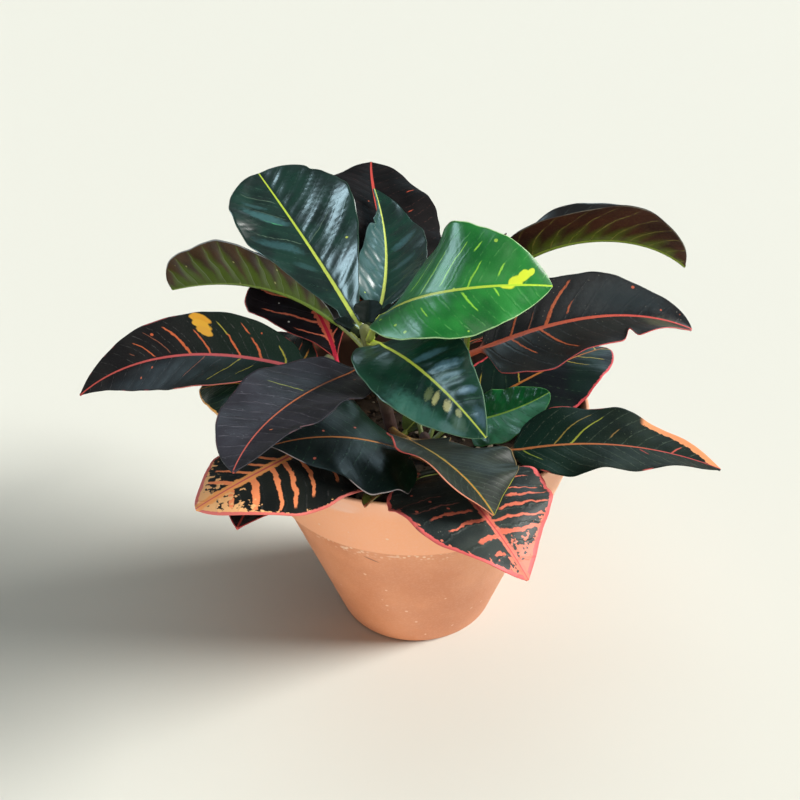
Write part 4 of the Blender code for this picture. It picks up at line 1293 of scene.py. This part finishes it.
grow_leaf(
    "leaf_mid_left", blackish, dark_under, "dark_leaf", number=15, stem="main", height=156, heading=-125,
    turn=37, rise=14, droop=1, late=2.2, length=132, stalk=5, half_width=23.5, widest=0.4, fullness=0.7,
    skew=0.1, roll=-7, twist=7, left_fold=15, right_fold=15, side_veins=15, quilt=0.4,
    notches=((1, 0.73, 0.13, 0.02),),
)
grow_leaf(
    "leaf_front_wide", black_green, dark_under, "dark_leaf", number=16, stem="front", height=117, heading=199,
    turn=9, rise=38, droop=39, late=1.6, length=83, stalk=16, half_width=39, widest=0.4, fullness=0.95,
    roll=6, twist=-11, left_fold=2, right_fold=7, cup=-10, side_veins=11, quilt=0.25,
)
grow_leaf(
    "leaf_front_small", small_dark, dark_under, "dark_leaf", number=13, stem="main", height=121, heading=-77,
    turn=29, rise=24, droop=67, late=3, length=95, stalk=28, half_width=30.5, widest=0.55, fullness=0.8,
    skew=0.2, roll=-12, twist=-17, left_fold=10, right_fold=14, cup=-5, side_veins=18, quilt=0.12,
    shoulder=0.5, stalk_blend=0.04,
)
grow_leaf(
    "leaf_behind_crown", brown_black, dark_under, "dark_leaf", number=6, stem="back", height=157, heading=109,
    turn=-18, rise=29, droop=31, late=1.4, length=136, stalk=15, half_width=36.6, widest=0.4, fullness=0.85,
    skew=0.03, roll=19, twist=-26, left_fold=20, right_fold=5, cup=-20, side_veins=14,
)
grow_leaf(
    "leaf_behind_left", yellow_edged, dark_under, "dark_leaf", number=18, stem="left", height=119,
    heading=165, turn=1, rise=27, droop=53, late=1.2, length=74, stalk=11, half_width=27.8, widest=0.45,
    fullness=0.75, roll=-6, twist=-2, left_fold=3, right_fold=11, cup=-5, side_veins=11, quilt=0.4,
)
grow_leaf(
    "leaf_lowest_left", red_tipped, dark_under, "dark_leaf", number=19, stem="left", height=113, heading=-117,
    turn=23, rise=16, droop=7, late=1.3, length=112, stalk=14, half_width=17, widest=0.55, fullness=0.8,
    skew=0.1, roll=-1, twist=-1, left_fold=9, right_fold=13, cup=-10, quilt=0.3,
)

# Crimson-ribbed leaf: one leaf at the upper left, almost black, with a broad crimson midrib and thin coral
# side veins. Its tip has dried to brown.

CRIMSON = (232, 50, 78)
CORAL_LIGHT = (255, 140, 108)

crimson_ribbed = leaf_skin(
    "crimson_ribbed_leaf", ground=(26, 20, 22), ground_pale=(38, 34, 40), rib=CRIMSON, rib_width=2.4,
    rib_halo=(255, 128, 100), halo_width=6.6, fine_vein=(60, 50, 56), fine_cover=0.4, edge=(206, 90, 80),
    edge_width=0.35, edge_cover=0.8, speck=(230, 230, 224), speck_cover=0.03, dry_tip=(112, 72, 52),
    length=83, side_veins=8,
    strokes=(
        *veins(1, CORAL_LIGHT, (5.0, 0.00, 0.85, 2.4), (3.2, 0.00, 0.80, 1.8), (2.1, 0.00, 0.75, 1.6)),
        *veins(-1, CORAL_LIGHT, (2.6, 0.00, 0.60, 1.6)),
    ),
)

grow_leaf(
    "leaf_upper_left", crimson_ribbed, dark_under, "crimson_leaf", number=7, stem="left", height=128,
    heading=90, turn=41, rise=7, droop=-23, late=1.8, length=109, stalk=26, half_width=31, widest=0.7,
    fullness=0.75, skew=0.2, roll=-14, twist=4, left_fold=17, right_fold=13, side_veins=8,
)

# Coral-veined leaves: long dark leaves whose midribs, and some of whose side veins, have turned coral and
# orange. The colour starts at the midrib and thins out towards the margin.

CORAL = (232, 98, 84)
ORANGE = (236, 140, 60)
VEIN_ORANGE = (226, 116, 72)
VEIN_YELLOW = (184, 178, 70)
VEIN_FADED = (150, 92, 70)

far_left_skin = leaf_skin(
    "coral_veined_leaf", ground=(22, 21, 25), ground_pale=(33, 33, 35), root_ground=(14, 44, 28),
    rib=(226, 104, 108), rib_tip=(206, 92, 84), rib_width=2.0, fine_vein=(84, 84, 84), fine_cover=0.5,
    wander=0.14, edge=(170, 80, 84), edge_width=0.25, edge_cover=0.35, speck=(224, 110, 70), speck_cover=0.06,
    length=164, side_veins=15, roughness=0.5, gloss=0.14, bump=0.3,
    bands=((1, 0.02, 0.45, 0.5, (206, 112, 100)),), patch_softness=0.4, patch_ragged=1.0,
    strokes=(
        *veins(-1, VEIN_FADED, (10.5, 0.30, 0.45, 0.6), (8.5, 0.10, 0.85, 0.6)),
        *veins(
            -1, VEIN_ORANGE, (9.5, 0.08, 0.72, 0.9), (7.4, 0.00, 0.82, 1.6), (6.2, 0.00, 0.62, 1.1),
            (4.6, 0.00, 0.55, 1.3), (3.4, 0.05, 0.55, 1.2), (3.4, 0.62, 0.85, 0.7),
        ),
        *veins(-1, VEIN_YELLOW, (4.6, 0.50, 0.80, 0.8), (2.1, 0.05, 0.62, 1.0), (1.0, 0.10, 0.40, 0.7)),
        *veins(1, VEIN_FADED, (6.0, 0.05, 0.65, 0.7)),
        *veins(1, VEIN_YELLOW, (4.0, 0.05, 0.80, 0.8), (2.9, 0.25, 0.65, 0.6)),
    ),
    patches=(
        (-0.84, 0.351, 0.16, 0.030, (246, 178, 60)), (-0.70, 0.367, 0.16, 0.028, (250, 190, 66)),
        (-0.55, 0.380, 0.14, 0.026, (246, 184, 70)),
    ),
)
far_right_skin = leaf_skin(
    "coral_ribbed_leaf", ground=(22, 24, 28), ground_pale=(34, 40, 44), rib=(232, 112, 80),
    rib_tip=(216, 84, 80), rib_width=2.5, fine_vein=(84, 86, 88), fine_cover=0.5, wander=0.12,
    dust=(120, 120, 106), half_ground=(-1, (46, 48, 46)), bands=((-1, 0.02, 1.1, 0.5, (206, 88, 88)),),
    speck=(222, 110, 80), speck_cover=0.04, length=99, side_veins=12, roughness=0.42, gloss=0.3, bump=0.3,
    strokes=(
        *veins(1, VEIN_ORANGE, (2.0, 0.05, 0.65, 0.9), (4.0, 0.00, 0.90, 1.5), (5.0, 0.18, 0.48, 0.8)),
        *veins(1, VEIN_FADED, (3.0, 0.05, 0.40, 0.5)),
        *veins(-1, VEIN_ORANGE, (2.5, 0.00, 0.55, 0.9), (4.2, 0.00, 0.75, 0.9)),
    ),
    # Painted sheens: a bluish highlight painted on the left half and a pale one near the tip.
    sheens=(
        (0.55, 0.62, 0.60, 0.30, (44, 54, 58)), (-0.45, 0.87, 0.75, 0.11, (84, 88, 72)),
    ),
)
mid_right_skin = leaf_skin(
    "coral_edged_leaf", ground=(14, 18, 24), ground_pale=(14, 40, 32), rib=(196, 120, 56), rib_width=1.6,
    fine_cover=0.4, vein=(176, 160, 66), vein_width=0.6, vein_cover=0.3, edge=(222, 84, 90), edge_width=1.1,
    speck=(214, 80, 90), speck_cover=0.06, length=87, side_veins=11, roughness=0.42, gloss=0.25, bump=0.2,
)
low_right_skin = leaf_skin(
    "orange_edged_leaf", ground=(22, 32, 28), ground_pale=(34, 46, 38), root_ground=(14, 44, 34),
    rib=(196, 120, 72), rib_tip=(214, 88, 90), rib_width=1.7, fine_vein=(84, 96, 80), fine_cover=0.7,
    wander=0.12, dust=(84, 96, 80), edge=(214, 96, 90), edge_width=0.3, edge_cover=0.3,
    bands=((1, 0.62, 1.1, 4.6, (250, 164, 112)),), speck=(214, 90, 84), speck_cover=0.04, length=93,
    roughness=0.5, gloss=0.08, bump=0.3,
    strokes=(
        *veins(1, (150, 130, 64), (3.0, 0.02, 0.85, 0.6)),
        *veins(1, (160, 168, 64), (4.0, 0.02, 0.78, 0.8)),
        *veins(1, (150, 120, 70), (6.0, 0.20, 0.45, 0.5)),
        *veins(1, (214, 100, 86), (10.0, 0.05, 0.50, 0.7)),
        *veins(-1, (150, 168, 64), (1.5, 0.08, 0.60, 0.7)),
        *veins(-1, (190, 84, 76), (8.5, 0.10, 0.35, 0.6)),
    ),
)

grow_leaf(
    "leaf_far_left", far_left_skin, dark_under, "coral_leaf", number=8, stem="left", height=139, heading=153,
    turn=12, rise=3, droop=44, late=1.4, length=169, stalk=5, half_width=22.5, widest=0.4, fullness=1,
    roll=-26, twist=-72, left_fold=28, right_fold=16, cup=15, side_veins=15,
)
grow_leaf(
    "leaf_far_right", far_right_skin, dark_under, "coral_leaf", number=9, stem="right", height=152,
    heading=-4, turn=-4, rise=26, droop=49, late=2, length=104, stalk=5, half_width=27.5, widest=0.4,
    fullness=0.7, skew=-0.2, roll=43, twist=-35, left_fold=23, right_fold=15, cup=20, side_veins=12,
    notches=((-1, 0.70, 0.42, 0.018),),
)
grow_leaf(
    "leaf_mid_right", mid_right_skin, dark_under, "coral_leaf", number=10, stem="right", height=113,
    heading=18, turn=16, rise=26, droop=33, late=1.4, length=92, stalk=5, half_width=27.5, widest=0.45,
    fullness=0.55, skew=-0.05, roll=27, twist=-43, left_fold=15, right_fold=1, cup=-15, side_veins=11,
    quilt=0.4,
)
grow_leaf(
    "leaf_low_right", low_right_skin, dark_under, "orange_leaf", number=12, stem="front", height=115,
    heading=1, turn=-21, rise=20, droop=34, late=1.3, length=116, stalk=23, half_width=28.5, widest=0.4,
    fullness=0.8, skew=-0.05, roll=9, twist=-20, left_fold=11, right_fold=13, cup=-5,
)

# Netted leaves: the two lowest leaves in front, the oldest, where coral has spread from the midrib along
# every side vein and runs together towards the tip.

VEIN_TANGERINE = (255, 152, 100)
VEIN_CORAL = (236, 124, 98)
VEIN_DULL = (170, 110, 100)

over_rim_skin = leaf_skin(
    "netted_coral_leaf", ground=(38, 46, 46), ground_pale=(58, 66, 62), rib=(222, 84, 88),
    rib_tip=(216, 86, 86), rib_width=1.3, rib_halo=(234, 126, 104), halo_width=3.6, fine_vein=(86, 98, 92),
    fine_cover=0.6, wander=0.36, flood_from=0.7, flood_length=0.3, flood_lean=0.1, flood=(240, 134, 108),
    speck=VEIN_CORAL, speck_cover=0.12, dust=(112, 118, 108), edge=(232, 106, 104), edge_width=1.6, length=79,
    side_veins=10, roughness=0.44, gloss=0.25,
    strokes=(
        *veins(
            1, VEIN_CORAL, (3.3, 0.50, 0.85, 0.5), (4.2, 0.45, 0.88, 0.9), (4.9, 0.40, 0.95, 1.1),
            (5.8, 0.22, 0.95, 1.2), (6.5, 0.03, 0.95, 1.5), (7.3, 0.03, 0.95, 2.2),
        ),
        *veins(-1, VEIN_DULL, (4.4, 0.35, 0.90, 0.4), (5.3, 0.20, 0.90, 0.6)),
        *veins(
            -1, VEIN_CORAL, (6.0, 0.12, 0.78, 1.1), (6.8, 0.03, 0.72, 1.5), (7.9, 0.03, 0.55, 1.8),
            (8.8, 0.30, 0.60, 1.6),
        ),
    ),
)
low_left_skin = leaf_skin(
    "netted_orange_leaf", ground=(16, 20, 20), ground_pale=(28, 32, 28), rib=(226, 100, 90),
    rib_tip=(224, 106, 96), rib_width=1.6, rib_halo=(255, 172, 100), halo_width=4.2, fine_vein=(60, 60, 60),
    fine_cover=0.3, flood_from=0.74, flood_length=0.26, flood=(255, 196, 134), edge=(230, 118, 108),
    edge_width=1.1, length=108, side_veins=11, roughness=0.44, gloss=0.25,
    strokes=(
        *veins(
            1, VEIN_TANGERINE, (9.4, 0.00, 0.80, 2.4), (8.3, 0.00, 0.88, 3.2), (7.2, 0.00, 0.92, 2.2),
            (6.5, 0.00, 0.88, 2.2), (5.6, 0.00, 0.80, 2.4), (4.3, 0.15, 0.75, 2.4), (3.6, 0.35, 0.65, 1.0),
        ),
        *veins(
            -1, VEIN_TANGERINE, (9.6, 0.00, 0.80, 2.4), (8.7, 0.00, 0.75, 2.0), (7.8, 0.00, 0.60, 2.0),
            (7.0, 0.00, 0.55, 2.0), (5.6, 0.00, 0.50, 1.6),
        ),
    ),
)

grow_leaf(
    "leaf_over_rim", over_rim_skin, dark_under, "coral_leaf", number=14, stem="front", height=115,
    heading=-87, turn=36, rise=26, droop=69, late=1.8, length=84, stalk=5, half_width=34.5, widest=0.45,
    fullness=0.85, roll=9, twist=-28, left_fold=15, cup=-20, side_veins=10, vein_slope=0.12, quilt=0.4,
)
grow_leaf(
    "leaf_low_left", low_left_skin, dark_under, "coral_leaf", number=17, stem="left", height=116, heading=-90,
    turn=-48, rise=24, droop=33, late=2.3, length=119, stalk=11, half_width=31.5, widest=0.5, fullness=0.65,
    skew=0.15, roll=-18, twist=15, left_fold=7, right_fold=0, cup=-15, side_veins=11, quilt=0.4,
)

# Back leaves: the plant's far side, as full as its front, most of them on the stem at the back. They are
# leaves of the same kinds, dark, coral-veined and netted.

back_dark = leaf_skin(
    "back_dark_leaf", ground=(22, 30, 30), ground_pale=(38, 48, 44), root_ground=(12, 42, 28),
    rib=(210, 120, 70), rib_tip=(214, 90, 84), rib_width=1.6, fine_vein=(84, 94, 86), vein=(214, 112, 68),
    vein_cover=0.15, edge=(186, 104, 90), edge_width=0.35, edge_cover=0.6, dust=(84, 90, 86), length=108,
    roughness=0.42, gloss=0.3,
)
back_coral = leaf_skin(
    "back_coral_leaf", ground=(24, 26, 28), ground_pale=(40, 46, 44), root_ground=(14, 42, 28), rib=CORAL,
    rib_width=2.0, fine_vein=(80, 84, 82), fine_cover=0.5, vein=(226, 110, 72), root_vein=(180, 176, 64),
    vein_width=1.0, vein_cover=0.7, wander=0.15, edge=CORAL, edge_cover=0.8, speck=ORANGE, speck_cover=0.06,
    length=110, roughness=0.42, gloss=0.3,
)
back_net = leaf_skin(
    "back_netted_leaf", ground=(20, 26, 24), ground_pale=(36, 42, 36), rib=(222, 90, 84), rib_width=1.6,
    rib_halo=(240, 144, 98), halo_width=4.0, fine_vein=(70, 76, 70), vein=(236, 122, 80), vein_width=1.5,
    vein_cover=0.85, vein_reach=(0.6, 1.1), wander=0.28, fork=0.68, flood_from=0.62, flood=(242, 156, 104),
    edge=CORAL, edge_width=1.0, roughness=0.44, gloss=0.3, side_veins=11,
)

grow_leaf(
    "leaf_back_top_right", back_dark, dark_under, "dark_leaf", number=21, stem="back", height=152, heading=63,
    turn=11, rise=15, droop=66, late=1.7, length=123, stalk=12, half_width=28, widest=0.5, fullness=0.9,
    skew=0.05, roll=-4, right_fold=23, cup=5,
)
grow_leaf(
    "leaf_back_top_left", back_dark, dark_under, "dark_leaf", number=22, stem="back", height=151, heading=142,
    rise=22, droop=54, late=1.3, length=118, stalk=14, half_width=24.5, widest=0.55, fullness=0.8, twist=-7,
    left_fold=10, right_fold=14, cup=5,
)
grow_leaf(
    "leaf_back_inner", back_dark, dark_under, "dark_leaf", number=27, stem="right", height=140, heading=74,
    rise=22, droop=60, late=1.3, length=118, stalk=14, half_width=24, widest=0.5, fullness=0.8,
)
grow_leaf(
    "leaf_back_top_middle", back_coral, dark_under, "coral_leaf", number=23, stem="back", height=141,
    heading=94, turn=2, rise=16, droop=58, late=1.5, length=139, stalk=15, half_width=28, widest=0.5,
    fullness=0.8, roll=-3, twist=1, left_fold=11, right_fold=13, cup=-5,
)
grow_leaf(
    "leaf_back_right", back_coral, dark_under, "coral_leaf", number=24, stem="back", height=126, heading=33,
    turn=-1, rise=18, droop=55, late=1.3, length=126, stalk=16, half_width=25.5, widest=0.5, fullness=0.75,
    twist=-2, cup=-5,
)
grow_leaf(
    "leaf_back_left", back_coral, dark_under, "coral_leaf", number=28, stem="left", height=121, heading=130,
    turn=-3, rise=26, droop=51, late=0.7, length=104, stalk=16, half_width=21, widest=0.5, fullness=0.85,
    roll=-4, twist=-6, right_fold=13, cup=-15,
)
grow_leaf(
    "leaf_back_low_middle", back_net, dark_under, "coral_leaf", number=25, stem="back", height=124,
    heading=105, turn=2, rise=24, droop=50, late=1.4, length=122, stalk=17, half_width=26, widest=0.5,
    fullness=0.75, twist=2, side_veins=11,
)
grow_leaf(
    "leaf_back_low_right", back_net, dark_under, "coral_leaf", number=26, stem="back", height=114, heading=72,
    rise=28, droop=52, late=1.3, length=109, stalk=12, half_width=24.5, widest=0.5, fullness=0.8,
    left_fold=10, cup=-5, side_veins=11,
)
